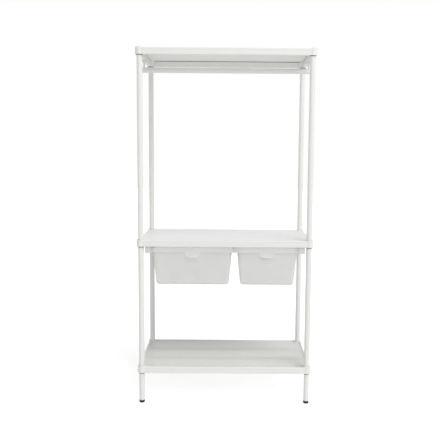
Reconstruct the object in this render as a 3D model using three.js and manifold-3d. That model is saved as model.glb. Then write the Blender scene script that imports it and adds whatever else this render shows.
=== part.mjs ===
// An open frame wardrobe. Four round posts carry three steel shelves on tapered split sleeves. A hanging
// rail is plugged on two brackets under the top shelf, and two moulded drawers of unequal width slide on
// three runners under the middle shelf. The bottom shelf is a frame that holds an open mesh panel.
// Millimetres, +Z up. The front faces -Y, and the origin is on the floor under the middle of the frame.

import * as THREE from 'three';
import { mergeVertices } from 'three/addons/utils/BufferGeometryUtils.js';
import Module from 'manifold-3d';

const wasm = await Module();
wasm.setup();

// Overall size over the corner collars, and the height of each shelf's top above the floor
const overallWidth = 900;
const overallDepth = 500;
const bottomShelfTop = 196;
const middleShelfTop = 858;
const topShelfTop = 1815;

// Round posts
const postDiameter = 28;
const postWall = 1.2;
const postGrooveDepth = 0.7;
const postGrooveHeight = 4;

// Corner collars of the shelves, and the tapered sleeves wedged between collar and post
const collarDiameter = 42;
const collarAboveRim = 2;
const collarChamfer = 1;
const sleeveTopWall = 1.5;
const sleeveBottomWall = 2.4;
const sleeveBelowCollar = 4;
const sleeveUnderCollarTop = 2;
const sleeveSlit = 1.5;

// Folded sheet of the shelves: a rim with a pressed groove, and a flange returned under it
const sheet = 1.2;
const rimHeight = 34;
const rimRecess = 2.5;
const rimTopRadius = 4;
const rimBottomRadius = 3;
const rimReturn = 20;
const rimGrooveDrop = 11;
const rimGrooveHeight = 6;
const rimGrooveDepth = 1;

// The bottom shelf's frame: a narrow land, a step down and a ledge that carries the mesh panel
const landWidth = 9;
const stepDown = 6;
const ledgeWidth = 12;
const stepRadius = 2;
const meshThickness = 1.5;
const meshSideGap = 0.6;
const meshBorder = 13;
const meshBar = 9;
const meshColumns = 10;
const meshRows = 6;

// Hat-section stiffeners under the bottom shelf's mesh
const stiffenerBrim = 11;
const stiffenerCrown = 18;
const stiffenerDepth = 16;
const stiffenerSlope = 5;
const stiffenerEndGap = 2;
const stiffenerPlaceShare = 1 / 3;

// Post ends: plug above, threaded insert and levelling foot below
const plugDome = 3;
const plugStem = 16;
const insertHeight = 20;
const footDiameter = 28.6;
const footHeight = 14;
const footChamfer = 2;
const studDiameter = 8;
const studLength = 34;

// Hanging rail and its brackets
const railDiameter = 28;
const railWall = 1.5;
const railDrop = 47;
const bracketBody = 25;
const spigotLength = 28;
const webThickness = 6;
const webTopWidth = 42;
const webBottomWidth = 26;
const webInset = 8;
const bracketFootLength = 74;
const bracketFootWidth = 17;
const bracketFootThickness = 3;
const bracketScrewSpacing = 58;

// Screws
const screwDiameter = 4;
const screwHeadDiameter = 7;
const screwHeadHeight = 2.4;
const screwLength = 9;

// Drawers. The small one's width is measured outside the body under the rim, and the large one and the
// length of both take up what the frame leaves beside, in front of and behind them.
const smallDrawerWidth = 311;
const drawerSideRoom = 31;
const drawerFrontRoom = 6;
const drawerBackRoom = 49;
const drawerHeight = 188;
const drawerWall = 2;
const drawerTaper = 19;
const drawerCornerRadius = 26;
const drawerFilletRadius = 14;
const drawerRimWidth = 5.5;
const drawerRimDrop = 12;
const drawerRimThickness = 2;
const drawerGapAbove = 12.5;

// The smile-shaped finger pull: a tongue under the rim, and two grip ribs on the wall below it
const pullWidth = 84;
const pullDrop = 24;
const pullFlare = 3.5;
const pullRoundnessShare = 3;
const upperRibDrop = 51;
const lowerRibDrop = 61;
const upperRibWidth = 68;
const lowerRibWidth = 52;
const ribRise = 5;
const ribHeight = 3;
const ribProud = 2;

// Runners: a channel at each side and a hat section between the drawers, all closed at the front
const runnerSheet = 1.5;
const runnerRadius = 2.5;
const runnerInset = 21;
const runnerTopFlange = 20;
const runnerEndGap = 8;
const dividerWidth = 10.8;
const dividerGap = 0.7;
const ledgeToBodyGap = 2;
const runnerScrewFromEnd = 7;
const stopHeight = 8;
const stopWidth = 18;

// Clearances, the overrun of every cut, and how finely curves are stepped
const fitGap = 0.3;
const seatGap = 0.2;
const overrun = 5;
const weld = 1e-4;
const roundSteps = 16;
const hiddenRoundSteps = 12;
const smallRoundSteps = 8;
const bendSteps = 3;

// Sizes that follow from these
const postRadius = postDiameter / 2;
const postInner = postRadius - postWall;
const collarRadius = collarDiameter / 2;
const axisX = overallWidth / 2 - collarRadius;
const axisY = overallDepth / 2 - collarRadius;
const rimX = overallWidth / 2 - rimRecess;
const rimY = overallDepth / 2 - rimRecess;
const collarBottom = -rimHeight;
const sleeveBottom = collarBottom - sleeveBelowCollar;
const sleeveTop = collarAboveRim - sleeveUnderCollarTop;
const sleeveInner = postRadius + fitGap;
const postBottom = footHeight + seatGap;
const postTop = topShelfTop + collarAboveRim;
const railRadius = railDiameter / 2;
const screwRadius = screwDiameter / 2;

// Finishes
const paint = new THREE.MeshStandardMaterial({ color: 0xe9e9e6, roughness: 0.45, metalness: 0.0 });
const zinc = new THREE.MeshStandardMaterial({ color: 0xb4b6b8, roughness: 0.35, metalness: 0.9 });
const blackPlastic = new THREE.MeshStandardMaterial({ color: 0x2a2a2b, roughness: 0.6, metalness: 0.0 });
const whitePlastic = new THREE.MeshStandardMaterial({ color: 0xdededa, roughness: 0.5, metalness: 0.0 });
const frosted = new THREE.MeshStandardMaterial({
  color: 0xdadad8, roughness: 0.4, metalness: 0.0, transparent: true, opacity: 0.75,
});

const wardrobe = new THREE.Group();
const corners = [
  { name: 'front_left', x: -axisX, y: -axisY },
  { name: 'front_right', x: axisX, y: -axisY },
  { name: 'back_left', x: -axisX, y: axisY },
  { name: 'back_right', x: axisX, y: axisY },
];

// A closed geometry as a solid that can be joined and cut
function solid(geometry) {
  const bare = geometry.clone();
  bare.deleteAttribute('normal');
  bare.deleteAttribute('uv');
  const merged = mergeVertices(bare, weld);
  const all = merged.index.array;
  const kept = [];
  for (let i = 0; i < all.length; i += 3) {
    const [a, b, c] = [all[i], all[i + 1], all[i + 2]];
    if (a !== b && b !== c && c !== a) kept.push(a, b, c);
  }
  return new wasm.Manifold(new wasm.Mesh({
    numProp: 3,
    vertProperties: merged.attributes.position.array,
    triVerts: new Uint32Array(kept),
  }));
}

// A named piece of the wardrobe, made from a solid and put at its place
function add(name, shape, material, x = 0, y = 0, z = 0) {
  const mesh = shape.getMesh();
  const geometry = new THREE.BufferGeometry();
  geometry.setAttribute('position', new THREE.BufferAttribute(mesh.vertProperties, 3));
  geometry.setIndex(new THREE.BufferAttribute(mesh.triVerts, 1));
  const flat = geometry.toNonIndexed();
  flat.computeVertexNormals();
  const piece = new THREE.Mesh(flat, material);
  piece.name = name;
  piece.position.set(x, y, z);
  wardrobe.add(piece);
  return piece;
}

function unite(shapes) {
  return shapes.reduce((whole, shape) => whole.add(shape));
}

function cutAll(shape, tools) {
  return tools.reduce((left, tool) => left.subtract(tool), shape);
}

// A body of revolution about Z. Its profile is a list of [radius, height] with the material on its left.
function turned(profile, steps = roundSteps) {
  const points = profile.map(([radius, height]) => new THREE.Vector2(radius, height));
  const geometry = new THREE.LatheGeometry(points, steps);
  geometry.rotateX(Math.PI / 2);
  return geometry;
}

function ring(inner, outer, bottom, top, steps = roundSteps) {
  return turned([[inner, top], [inner, bottom], [outer, bottom], [outer, top], [inner, top]], steps);
}

function rod(radius, bottom, top, steps = roundSteps) {
  return turned([[0, bottom], [radius, bottom], [radius, top], [0, top]], steps);
}

function block(width, depth, height, x, y, z) {
  return new THREE.BoxGeometry(width, depth, height).translate(x, y, z);
}

// A prism of an outline in a plane of across and up, centred on its length, which runs along across x up
function prism(points, length, across, up) {
  const shape = new THREE.Shape(points);
  const geometry = new THREE.ExtrudeGeometry(shape, { depth: length, bevelEnabled: false });
  geometry.translate(0, 0, -length / 2);
  const along = new THREE.Vector3().crossVectors(across, up);
  return geometry.applyMatrix4(new THREE.Matrix4().makeBasis(across, up, along));
}

// A path of corners [x, y, radius], with each corner that has a radius rounded by an arc
function bent(corners) {
  const points = [];
  corners.forEach(([x, y, radius = 0], i) => {
    const here = new THREE.Vector2(x, y);
    if (!radius || i === 0 || i === corners.length - 1) {
      points.push(here);
      return;
    }
    const before = new THREE.Vector2(...corners[i - 1].slice(0, 2)).sub(here).normalize();
    const after = new THREE.Vector2(...corners[i + 1].slice(0, 2)).sub(here).normalize();
    const half = Math.acos(before.dot(after)) / 2;
    const middle = before.clone().add(after).normalize().multiplyScalar(radius / Math.sin(half)).add(here);
    const start = here.clone().addScaledVector(before, radius / Math.tan(half)).sub(middle);
    const turn = -Math.sign(before.cross(after)) * (Math.PI - 2 * half);
    for (let k = 0; k <= bendSteps; k++) {
      points.push(start.clone().rotateAround(new THREE.Vector2(), turn * k / bendSteps).add(middle));
    }
  });
  return points;
}

// The outline of a folded strip: a path, and the same path moved to its right by the sheet's thickness
function strip(corners, thickness) {
  const outer = bent(corners);
  const rightOf = (a, b) => new THREE.Vector2(b.y - a.y, a.x - b.x).normalize();
  const inner = outer.map((point, i) => {
    const into = i > 0 ? rightOf(outer[i - 1], point) : rightOf(point, outer[i + 1]);
    const out = i < outer.length - 1 ? rightOf(point, outer[i + 1]) : into;
    const mean = into.clone().add(out).normalize();
    return point.clone().addScaledVector(mean, thickness / mean.dot(into));
  });
  return [...outer, ...inner.reverse()];
}

// A skin through rings of equally many points, closed by flat ends
function loft(rings) {
  const count = rings[0].length;
  const corner = (r, i) => r * count + (i % count);
  const faces = [];
  for (let r = 0; r < rings.length - 1; r++) {
    for (let i = 0; i < count; i++) {
      faces.push(corner(r, i), corner(r, i + 1), corner(r + 1, i + 1));
      faces.push(corner(r, i), corner(r + 1, i + 1), corner(r + 1, i));
    }
  }
  const last = rings.length - 1;
  for (let i = 1; i < count - 1; i++) {
    faces.push(corner(0, 0), corner(0, i + 1), corner(0, i));
    faces.push(corner(last, 0), corner(last, i), corner(last, i + 1));
  }
  const geometry = new THREE.BufferGeometry().setFromPoints(rings.flat());
  return geometry.setIndex(faces);
}

const X = new THREE.Vector3(1, 0, 0);
const Y = new THREE.Vector3(0, 1, 0);
const Z = new THREE.Vector3(0, 0, 1);

// Posts: tubes with a shallow groove behind each sleeve, where the sleeve's rib locks
const shelfTops = [bottomShelfTop, middleShelfTop, topShelfTop];
const grooveOffset = (sleeveTop + sleeveBottom) / 2;

function post() {
  const profile = [[postInner, postTop], [postInner, postBottom], [postRadius, postBottom]];
  for (const top of shelfTops) {
    const middle = top + grooveOffset;
    profile.push([postRadius, middle - postGrooveHeight / 2]);
    profile.push([postRadius - postGrooveDepth, middle]);
    profile.push([postRadius, middle + postGrooveHeight / 2]);
  }
  profile.push([postRadius, postTop], [postInner, postTop]);
  return solid(turned(profile));
}

// A domed plug in the top of a post
function plug() {
  const stem = postInner - fitGap;
  const top = postTop + seatGap;
  const profile = [[0, top - plugStem], [stem, top - plugStem], [stem, top], [postRadius, top]];
  for (let k = 1; k < bendSteps; k++) {
    const angle = Math.PI / 2 * k / bendSteps;
    profile.push([postRadius * Math.cos(angle), top + (plugDome - seatGap) * Math.sin(angle)]);
  }
  profile.push([0, top + plugDome - seatGap]);
  return solid(turned(profile));
}

// A threaded insert pressed into the bottom of a post
function insert() {
  const bore = studDiameter / 2 + fitGap;
  return solid(ring(bore, postInner - fitGap, postBottom, postBottom + insertHeight, hiddenRoundSteps));
}

// A levelling foot: a chamfered pad with its stud
function foot() {
  const radius = footDiameter / 2;
  const stud = studDiameter / 2;
  return solid(turned([
    [0, 0], [radius - footChamfer, 0], [radius, footChamfer], [radius, footHeight],
    [stud, footHeight], [stud, footHeight + studLength], [0, footHeight + studLength],
  ], hiddenRoundSteps));
}

// The outside of a sleeve is a cone, and the collar's bore follows it with the fit's gap
function sleeveRadius(height) {
  const share = (height - sleeveBottom) / (sleeveTop - sleeveBottom);
  return sleeveInner + sleeveBottomWall + (sleeveTopWall - sleeveBottomWall) * share;
}

// A split sleeve with a rib inside, at heights measured from the shelf's top
function sleeve() {
  const rib = postGrooveHeight / 2 - fitGap;
  const cone = turned([
    [sleeveInner, sleeveTop], [sleeveInner, grooveOffset + rib],
    [sleeveInner - postGrooveDepth, grooveOffset], [sleeveInner, grooveOffset - rib],
    [sleeveInner, sleeveBottom], [sleeveRadius(sleeveBottom), sleeveBottom],
    [sleeveRadius(sleeveTop), sleeveTop], [sleeveInner, sleeveTop],
  ]);
  const height = sleeveTop - sleeveBottom + 2 * overrun;
  const slit = block(sleeveSlit, collarDiameter, height, 0, collarRadius, grooveOffset);
  return solid(cone).subtract(solid(slit));
}

for (const { name, x, y } of corners) {
  add(`post_${name}`, post(), paint, x, y);
  add(`post_plug_${name}`, plug(), whitePlastic, x, y);
  add(`foot_insert_${name}`, insert(), whitePlastic, x, y);
  add(`foot_${name}`, foot(), blackPlastic, x, y);
}

// Rims. The path starts at the shelf's edge, runs out and down the face, and returns under the shelf.
const rimFace = [
  [0, 0, rimTopRadius],
  [0, -rimGrooveDrop],
  [-rimGrooveDepth, -rimGrooveDrop - rimGrooveHeight / 2],
  [0, -rimGrooveDrop - rimGrooveHeight],
  [0, -rimHeight, rimBottomRadius],
  [-rimReturn, -rimHeight],
];
const solidRim = [[-rimReturn, 0], ...rimFace];
const steppedRim = [
  [-landWidth - ledgeWidth, -stepDown - meshThickness - seatGap],
  [-landWidth, -stepDown - meshThickness - seatGap],
  [-landWidth, 0, stepRadius],
  ...rimFace,
];

// Four rims between the collars, each the same folded strip
function rims(path) {
  const outline = strip(path, sheet);
  const sides = [
    { out: X, from: rimX, length: 2 * axisY },
    { out: X.clone().negate(), from: rimX, length: 2 * axisY },
    { out: Y, from: rimY, length: 2 * axisX },
    { out: Y.clone().negate(), from: rimY, length: 2 * axisX },
  ];
  return sides.map(({ out, from, length }) => {
    const rim = prism(outline, length, out, Z);
    return solid(rim.translate(out.x * from, out.y * from, 0));
  });
}

// A plate with round corners about the post axes
function panel() {
  const radius = rimX - axisX;
  const points = roundedRectangle(rimX, rimY, radius, bendSteps);
  return solid(prism(points, sheet, X, Y).translate(0, 0, -sheet / 2));
}

function roundedRectangle(halfX, halfY, radius, steps) {
  const points = [];
  for (let quarter = 0; quarter < 4; quarter++) {
    const signX = quarter === 0 || quarter === 3 ? 1 : -1;
    const signY = quarter < 2 ? 1 : -1;
    for (let k = 0; k <= steps; k++) {
      const angle = Math.PI / 2 * (quarter + k / steps);
      const x = signX * (halfX - radius) + radius * Math.cos(angle);
      const y = signY * (halfY - radius) + radius * Math.sin(angle);
      points.push(new THREE.Vector2(x, y));
    }
  }
  return points;
}

// A corner collar, with the rims' groove carried round it
function collar() {
  const chamfered = collarRadius - collarChamfer;
  const grooved = collarRadius - rimGrooveDepth;
  const grooveBottom = -rimGrooveDrop - rimGrooveHeight;
  return turned([
    [0, collarBottom], [collarRadius, collarBottom], [collarRadius, grooveBottom],
    [grooved, grooveBottom + rimGrooveHeight / 2],
    [collarRadius, -rimGrooveDrop], [collarRadius, collarAboveRim - collarChamfer],
    [chamfered, collarAboveRim], [0, collarAboveRim],
  ]);
}

// A shelf joins its rims, its panel if it has one, and four collars, and is bored for the sleeves and screws
function shelf(path, hasPanel, screwPlaces) {
  const collars = corners.map(({ x, y }) => solid(collar().translate(x, y, 0)));
  const low = collarBottom - overrun;
  const high = collarAboveRim + overrun;
  const bores = corners.map(({ x, y }) => solid(turned([
    [0, low], [sleeveRadius(low) + fitGap, low], [sleeveRadius(high) + fitGap, high], [0, high],
  ]).translate(x, y, 0)));
  const pieces = hasPanel ? [panel(), ...rims(path), ...collars] : [...rims(path), ...collars];
  return cutAll(cutAll(unite(pieces), bores), screwPlaces.map(([x, y]) => screwHole(x, y, -rimHeight)));
}

function screwHole(x, y, z) {
  return solid(rod(screwRadius + fitGap, -overrun, overrun, smallRoundSteps).translate(x, y, z));
}

// A pan-head screw that points up, with its head's upper face at height zero
function screw() {
  const head = screwHeadDiameter / 2;
  return solid(turned([
    [0, -screwHeadHeight], [head * 2 / 3, -screwHeadHeight], [head, -screwHeadHeight / 2], [head, 0],
    [screwRadius, 0], [screwRadius, screwLength], [0, screwLength],
  ], smallRoundSteps));
}

// Where the drawers and runners stand across the middle shelf
const runnerX = axisX - runnerInset;
const drawersEdge = runnerX - drawerSideRoom;
const dividerRoom = dividerWidth + 2 * dividerGap;
const largeDrawerWidth = 2 * drawersEdge - 4 * drawerRimWidth - dividerRoom - smallDrawerWidth;
const largeDrawerX = -drawersEdge + drawerRimWidth + largeDrawerWidth / 2;
const smallDrawerX = drawersEdge - drawerRimWidth - smallDrawerWidth / 2;
const dividerX = largeDrawerX + largeDrawerWidth / 2 + drawerRimWidth + dividerRoom / 2;
const runnerTop = middleShelfTop - rimHeight - seatGap;
const drawerTop = runnerTop - drawerGapAbove;
const ledgeTop = drawerTop - drawerRimDrop - fitGap;
const runnerBottom = ledgeTop - runnerSheet;
const runnerHalfLength = rimY - runnerEndGap;
const runnerScrewY = runnerHalfLength - runnerScrewFromEnd;
const sideScrewX = runnerX - runnerTopFlange / 2;
const runnerScrews = [
  { name: 'left', x: -sideScrewX },
  { name: 'centre', x: dividerX },
  { name: 'right', x: sideScrewX },
];
const drawerFront = -rimY + drawerFrontRoom;
const drawerBack = rimY - drawerBackRoom;
const drawerY = (drawerFront + drawerBack) / 2;
const drawerLength = drawerBack - drawerFront - 2 * drawerRimWidth;

// Where the rail and its brackets hang under the top shelf
const railZ = topShelfTop - rimHeight - railDrop;
const railEnd = rimX - bracketBody;
const bracketX = rimX - rimReturn / 2;
const bracketTop = topShelfTop - rimHeight - seatGap;
const bracketScrewY = bracketScrewSpacing / 2;

// Shelves
const bracketScrewPlaces = [-1, 1].flatMap((sideX) =>
  [-1, 1].map((sideY) => [sideX * bracketX, sideY * bracketScrewY]));
const runnerScrewPlaces = runnerScrews.flatMap(({ x }) => [[x, -runnerScrewY], [x, runnerScrewY]]);
add('shelf_top', shelf(solidRim, true, bracketScrewPlaces), paint, 0, 0, topShelfTop);
add('shelf_middle', shelf(solidRim, true, runnerScrewPlaces), paint, 0, 0, middleShelfTop);
add('shelf_bottom_frame', shelf(steppedRim, false, []), paint, 0, 0, bottomShelfTop);

// The mesh panel lies on the bottom frame's ledge. A plain grid of openings stands for its fine wires, and
// a border is left all round and about the collars.
const meshX = rimX - landWidth - sheet - meshSideGap;
const meshY = rimY - landWidth - sheet - meshSideGap;
function meshPanel() {
  const height = meshThickness + 2 * overrun;
  const pitchX = (2 * (meshX - meshBorder) + meshBar) / meshColumns;
  const pitchY = (2 * (meshY - meshBorder) + meshBar) / meshRows;
  const cells = [];
  for (let column = 0; column < meshColumns; column++) {
    for (let row = 0; row < meshRows; row++) {
      const x = (column - (meshColumns - 1) / 2) * pitchX;
      const y = (row - (meshRows - 1) / 2) * pitchY;
      cells.push(solid(block(pitchX - meshBar, pitchY - meshBar, height, x, y, 0)));
    }
  }
  const discs = (radius) => corners.map(({ x, y }) =>
    solid(rod(radius, -height / 2, height / 2).translate(x, y, 0)));
  const keepOff = collarRadius + meshSideGap;
  const openings = cutAll(unite(cells), discs(keepOff + meshBar));
  return cutAll(solid(block(2 * meshX, 2 * meshY, meshThickness, 0, 0, 0)), [...discs(keepOff), openings]);
}
add('shelf_bottom_mesh', meshPanel(), paint, 0, 0, bottomShelfTop - stepDown - meshThickness / 2);

// Stiffeners hang by their brims under the bottom frame's ledges at each end
function stiffener() {
  const crown = stiffenerCrown / 2;
  const foot = crown + stiffenerSlope;
  const outline = strip([
    [-foot - stiffenerBrim, 0], [-foot, 0], [-crown, -stiffenerDepth],
    [crown, -stiffenerDepth], [foot, 0], [foot + stiffenerBrim, 0],
  ], sheet);
  return solid(prism(outline, 2 * (meshX - stiffenerEndGap), Y, Z));
}
const underLedge = stepDown + meshThickness + seatGap + sheet + seatGap;
const stiffenerY = rimY * stiffenerPlaceShare;
add('stiffener_front', stiffener(), paint, 0, -stiffenerY, bottomShelfTop - underLedge);
add('stiffener_back', stiffener(), paint, 0, stiffenerY, bottomShelfTop - underLedge);

// Sleeves, one at each post for each shelf
const levels = [
  { name: 'bottom', top: bottomShelfTop },
  { name: 'middle', top: middleShelfTop },
  { name: 'top', top: topShelfTop },
];
for (const level of levels) {
  for (const { name, x, y } of corners) {
    add(`sleeve_${level.name}_${name}`, sleeve(), blackPlastic, x, y, level.top);
  }
}

// The rail is a tube along X, pushed over the spigots of its brackets
function rail() {
  return solid(ring(railRadius - railWall, railRadius, -railEnd, railEnd).rotateY(Math.PI / 2));
}

// A cast bracket for the right end: foot plate, web, a round body in line with the rail, and its spigot
function bracket() {
  const footZ = bracketTop - railZ - bracketFootThickness / 2;
  const bodyStart = railEnd + seatGap;
  const webX = rimX - webInset - webThickness / 2;
  const webTop = bracketTop - railZ - bracketFootThickness / 2;
  const plate = block(bracketFootWidth, bracketFootLength, bracketFootThickness, bracketX, 0, footZ);
  const webShape = [
    [-webBottomWidth / 2, 0], [webBottomWidth / 2, 0], [webTopWidth / 2, webTop], [-webTopWidth / 2, webTop],
  ];
  const webOutline = webShape.map(([y, z]) => new THREE.Vector2(y, z));
  const web = prism(webOutline, webThickness, Y, Z).translate(webX, 0, 0);
  const body = rod(railRadius, bodyStart, rimX).rotateY(Math.PI / 2);
  const spigotRadius = railRadius - railWall - fitGap;
  const spigot = rod(spigotRadius, railEnd - spigotLength, rimX - webInset).rotateY(Math.PI / 2);
  const whole = unite([plate, web, body, spigot].map(solid));
  return cutAll(whole, [-1, 1].map((side) => screwHole(bracketX, side * bracketScrewY, footZ)));
}

add('clothes_rail', rail(), paint, 0, 0, railZ);
add('rail_bracket_right', bracket(), paint, 0, 0, railZ);
add('rail_bracket_left', bracket().rotate([0, 0, 180]), paint, 0, 0, railZ);
for (const [sideName, sideX] of [['left', -1], ['right', 1]]) {
  for (const [endName, sideY] of [['front', -1], ['back', 1]]) {
    const underFoot = bracketTop - bracketFootThickness - seatGap;
    const name = `bracket_screw_${sideName}_${endName}`;
    add(name, screw(), zinc, sideX * bracketX, sideY * bracketScrewY, underFoot);
  }
}

// A pressed tab that stands up from a ledge behind a drawer's rim
const ledgeEnd = drawersEdge - drawerRimWidth + ledgeToBodyGap;
function stopTab(width, x) {
  const y = drawerBack + fitGap + runnerSheet / 2;
  const z = ledgeTop + (stopHeight - runnerSheet) / 2;
  return solid(block(width, runnerSheet, stopHeight + runnerSheet, x, y, z));
}

// The front end of a runner, folded shut
function frontEnd(width, x) {
  const y = -runnerHalfLength + runnerSheet / 2;
  const height = runnerTop - runnerBottom;
  return solid(block(width, runnerSheet, height, x, y, runnerBottom + height / 2));
}

// Side runner: a channel whose ledge reaches in under the drawer's rim
function sideRunner() {
  const outline = strip([
    [ledgeEnd, runnerBottom], [runnerX, runnerBottom, runnerRadius],
    [runnerX, runnerTop, runnerRadius], [runnerX - runnerTopFlange, runnerTop],
  ].reverse(), runnerSheet);
  const channel = solid(prism(outline, 2 * runnerHalfLength, X, Z));
  const holes = [-1, 1].map((side) => screwHole(sideScrewX, side * runnerScrewY, runnerTop));
  const endWidth = drawerSideRoom - dividerGap;
  const end = frontEnd(endWidth, runnerX - endWidth / 2);
  return cutAll(unite([channel, end, stopTab(stopWidth, ledgeEnd + stopWidth / 2)]), holes);
}

// Centre runner: an upright hat section with a ledge for the drawer on each side
function centreRunner() {
  const half = dividerWidth / 2;
  const reach = half + dividerGap + drawerRimWidth - ledgeToBodyGap;
  const outline = strip([
    [-reach, runnerBottom + runnerSheet], [-half, runnerBottom + runnerSheet], [-half, runnerTop],
    [half, runnerTop], [half, runnerBottom + runnerSheet], [reach, runnerBottom + runnerSheet],
  ], runnerSheet);
  const hat = solid(prism(outline, 2 * runnerHalfLength, X, Z));
  const tabs = [-1, 1].map((side) => stopTab(reach - half, side * (reach + half) / 2));
  const holes = [-1, 1].map((side) => screwHole(0, side * runnerScrewY, runnerTop));
  return cutAll(unite([hat, frontEnd(dividerWidth, 0), ...tabs]), holes);
}

add('drawer_runner_right', sideRunner(), paint);
add('drawer_runner_left', sideRunner().mirror([1, 0, 0]), paint);
add('drawer_runner_centre', centreRunner(), paint, dividerX);
for (const { name, x } of runnerScrews) {
  for (const [endName, sideY] of [['front', -1], ['back', 1]]) {
    const underFlange = runnerTop - runnerSheet - seatGap;
    add(`runner_screw_${name}_${endName}`, screw(), zinc, x, sideY * runnerScrewY, underFlange);
  }
}

// Drawers. Heights are measured down from the rim's top, and every wall leans in by the same taper.
const leanPerDrop = drawerTaper / drawerHeight;

// A ring of the drawer at one height, moved out from the wall's outside by some width
function drawerRing(width, outBy, z) {
  const lean = leanPerDrop * Math.max(0, -z - drawerRimDrop);
  const halfX = width / 2 - lean + outBy;
  const halfY = drawerLength / 2 - lean + outBy;
  const radius = Math.max(drawerWall, drawerCornerRadius - lean / 2 + outBy);
  return roundedRectangle(halfX, halfY, radius, bendSteps + 1).map((p) => new THREE.Vector3(p.x, p.y, z));
}

// The rings of a rounded foot: from a flat floor out and up into the wall
function filletRings(width, outBy, bottom, radius) {
  return Array.from({ length: bendSteps + 1 }, (_, k) => {
    const angle = Math.PI / 2 * k / bendSteps;
    return drawerRing(width, outBy - radius * (1 - Math.sin(angle)), bottom + radius * (1 - Math.cos(angle)));
  });
}

function tub(width) {
  const lip = drawerRimWidth - drawerRimThickness;
  const edge = drawerRimThickness / 2;
  return solid(loft([
    ...filletRings(width, 0, -drawerHeight, drawerFilletRadius),
    drawerRing(width, 0, -drawerRimDrop),
    drawerRing(width, 0, -drawerRimThickness),
    drawerRing(width, lip, -drawerRimThickness),
    drawerRing(width, lip, -drawerRimDrop),
    drawerRing(width, drawerRimWidth, -drawerRimDrop),
    drawerRing(width, drawerRimWidth, -edge),
    drawerRing(width, drawerRimWidth - edge, 0),
    drawerRing(width, -drawerWall, 0),
    drawerRing(width, -drawerWall, -drawerRimDrop),
    ...filletRings(width, -drawerWall, -drawerHeight + drawerWall, drawerFilletRadius - drawerWall).reverse(),
  ]));
}

// The tongue grows from the front rim, narrows to a smile and flares forward
function pullTongue() {
  const face = -drawerLength / 2 - drawerRimWidth;
  const rows = 2 * bendSteps;
  const start = -drawerRimDrop + drawerRimThickness;
  const rings = [[pullWidth / 2, 0, start], [pullWidth / 2, 0, -drawerRimDrop]];
  for (let k = 1; k <= rows; k++) {
    const share = Math.sin(Math.PI / 2 * k / (rows + 1 / 2));
    const half = pullWidth / 2 * (1 - share ** pullRoundnessShare) ** (1 / pullRoundnessShare);
    rings.push([half, pullFlare * share * share, -drawerRimDrop - pullDrop * share]);
  }
  return solid(loft(rings.reverse().map(([half, forward, z]) => {
    const front = face - forward;
    const back = front + drawerRimThickness;
    const plan = [[-half, front], [half, front], [half, back], [-half, back]];
    return plan.map(([x, y]) => new THREE.Vector3(x, y, z));
  })));
}

// A curved grip rib on the sloping front wall
function gripRib(width, drop) {
  const steps = 2 * bendSteps;
  const curve = (offset) => Array.from({ length: steps + 1 }, (_, k) => {
    const share = 2 * k / steps - 1;
    return new THREE.Vector2(share * width / 2, ribRise * share * share + offset);
  });
  const outline = [...curve(-ribHeight / 2), ...curve(ribHeight / 2).reverse()];
  const wall = -drawerLength / 2 + leanPerDrop * (drop - drawerRimDrop);
  const thickness = ribProud + drawerWall / 2;
  const rib = prism(outline, thickness, X, Z);
  rib.rotateX(Math.atan(leanPerDrop));
  return solid(rib.translate(0, wall + drawerWall / 2 - thickness / 2, -drop));
}

function drawer(width) {
  const ribs = [gripRib(upperRibWidth, upperRibDrop), gripRib(lowerRibWidth, lowerRibDrop)];
  return unite([tub(width), pullTongue(), ...ribs]);
}

add('drawer_large', drawer(largeDrawerWidth), frosted, largeDrawerX, drawerY, drawerTop);
add('drawer_small', drawer(smallDrawerWidth), frosted, smallDrawerX, drawerY, drawerTop);

export default wardrobe;
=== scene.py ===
# The looks of an open frame wardrobe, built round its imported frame, in metres. Heights are above the floor,
# and the front faces -Y.
import math

import bmesh
import bpy
from mathutils import Matrix, Vector


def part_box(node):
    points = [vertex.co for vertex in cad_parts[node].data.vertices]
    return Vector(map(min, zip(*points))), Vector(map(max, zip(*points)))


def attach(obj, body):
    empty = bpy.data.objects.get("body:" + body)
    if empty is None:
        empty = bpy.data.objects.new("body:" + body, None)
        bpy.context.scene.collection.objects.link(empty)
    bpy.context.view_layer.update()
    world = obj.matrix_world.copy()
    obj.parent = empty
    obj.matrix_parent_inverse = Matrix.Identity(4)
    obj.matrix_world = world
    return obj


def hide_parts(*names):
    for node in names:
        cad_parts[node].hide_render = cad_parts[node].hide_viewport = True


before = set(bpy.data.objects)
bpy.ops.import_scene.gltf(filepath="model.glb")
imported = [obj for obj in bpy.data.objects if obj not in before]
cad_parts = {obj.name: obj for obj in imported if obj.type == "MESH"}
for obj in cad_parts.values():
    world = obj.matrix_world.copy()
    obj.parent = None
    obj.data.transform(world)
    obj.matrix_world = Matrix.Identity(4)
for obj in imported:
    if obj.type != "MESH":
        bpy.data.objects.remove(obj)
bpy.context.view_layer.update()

bl_info = {
    "name": "Open frame wardrobe",
    "version": (1, 0, 0),
    "blender": (4, 5, 0),
    "location": "3D View > Sidebar > Wardrobe",
    "description": "Builds an open wardrobe with steel shelves, a hanging rail and moulded drawers",
    "category": "Add Mesh",
}

MM = 0.001
CORNERS = ("front_left", "front_right", "back_left", "back_right")
SHELVES = {"bottom": "shelf_bottom_frame", "middle": "shelf_middle", "top": "shelf_top"}
SIDES = ("left", "right")
X, Y, Z = Vector((1, 0, 0)), Vector((0, 1, 0)), Vector((0, 0, 1))


def middle_of(node):
    """The middle of a node's box."""
    low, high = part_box(node)
    return (low + high) / 2


def half_of(node):
    """Half the size of a node's box, each way."""
    low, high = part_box(node)
    return (high - low) / 2


POSTS = {corner: middle_of("post_" + corner) * Vector((1, 1, 0)) for corner in CORNERS}
POST_X, POST_Y = (abs(reach) for reach in POSTS["front_left"].xy)


# Settings that a user would change


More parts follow.
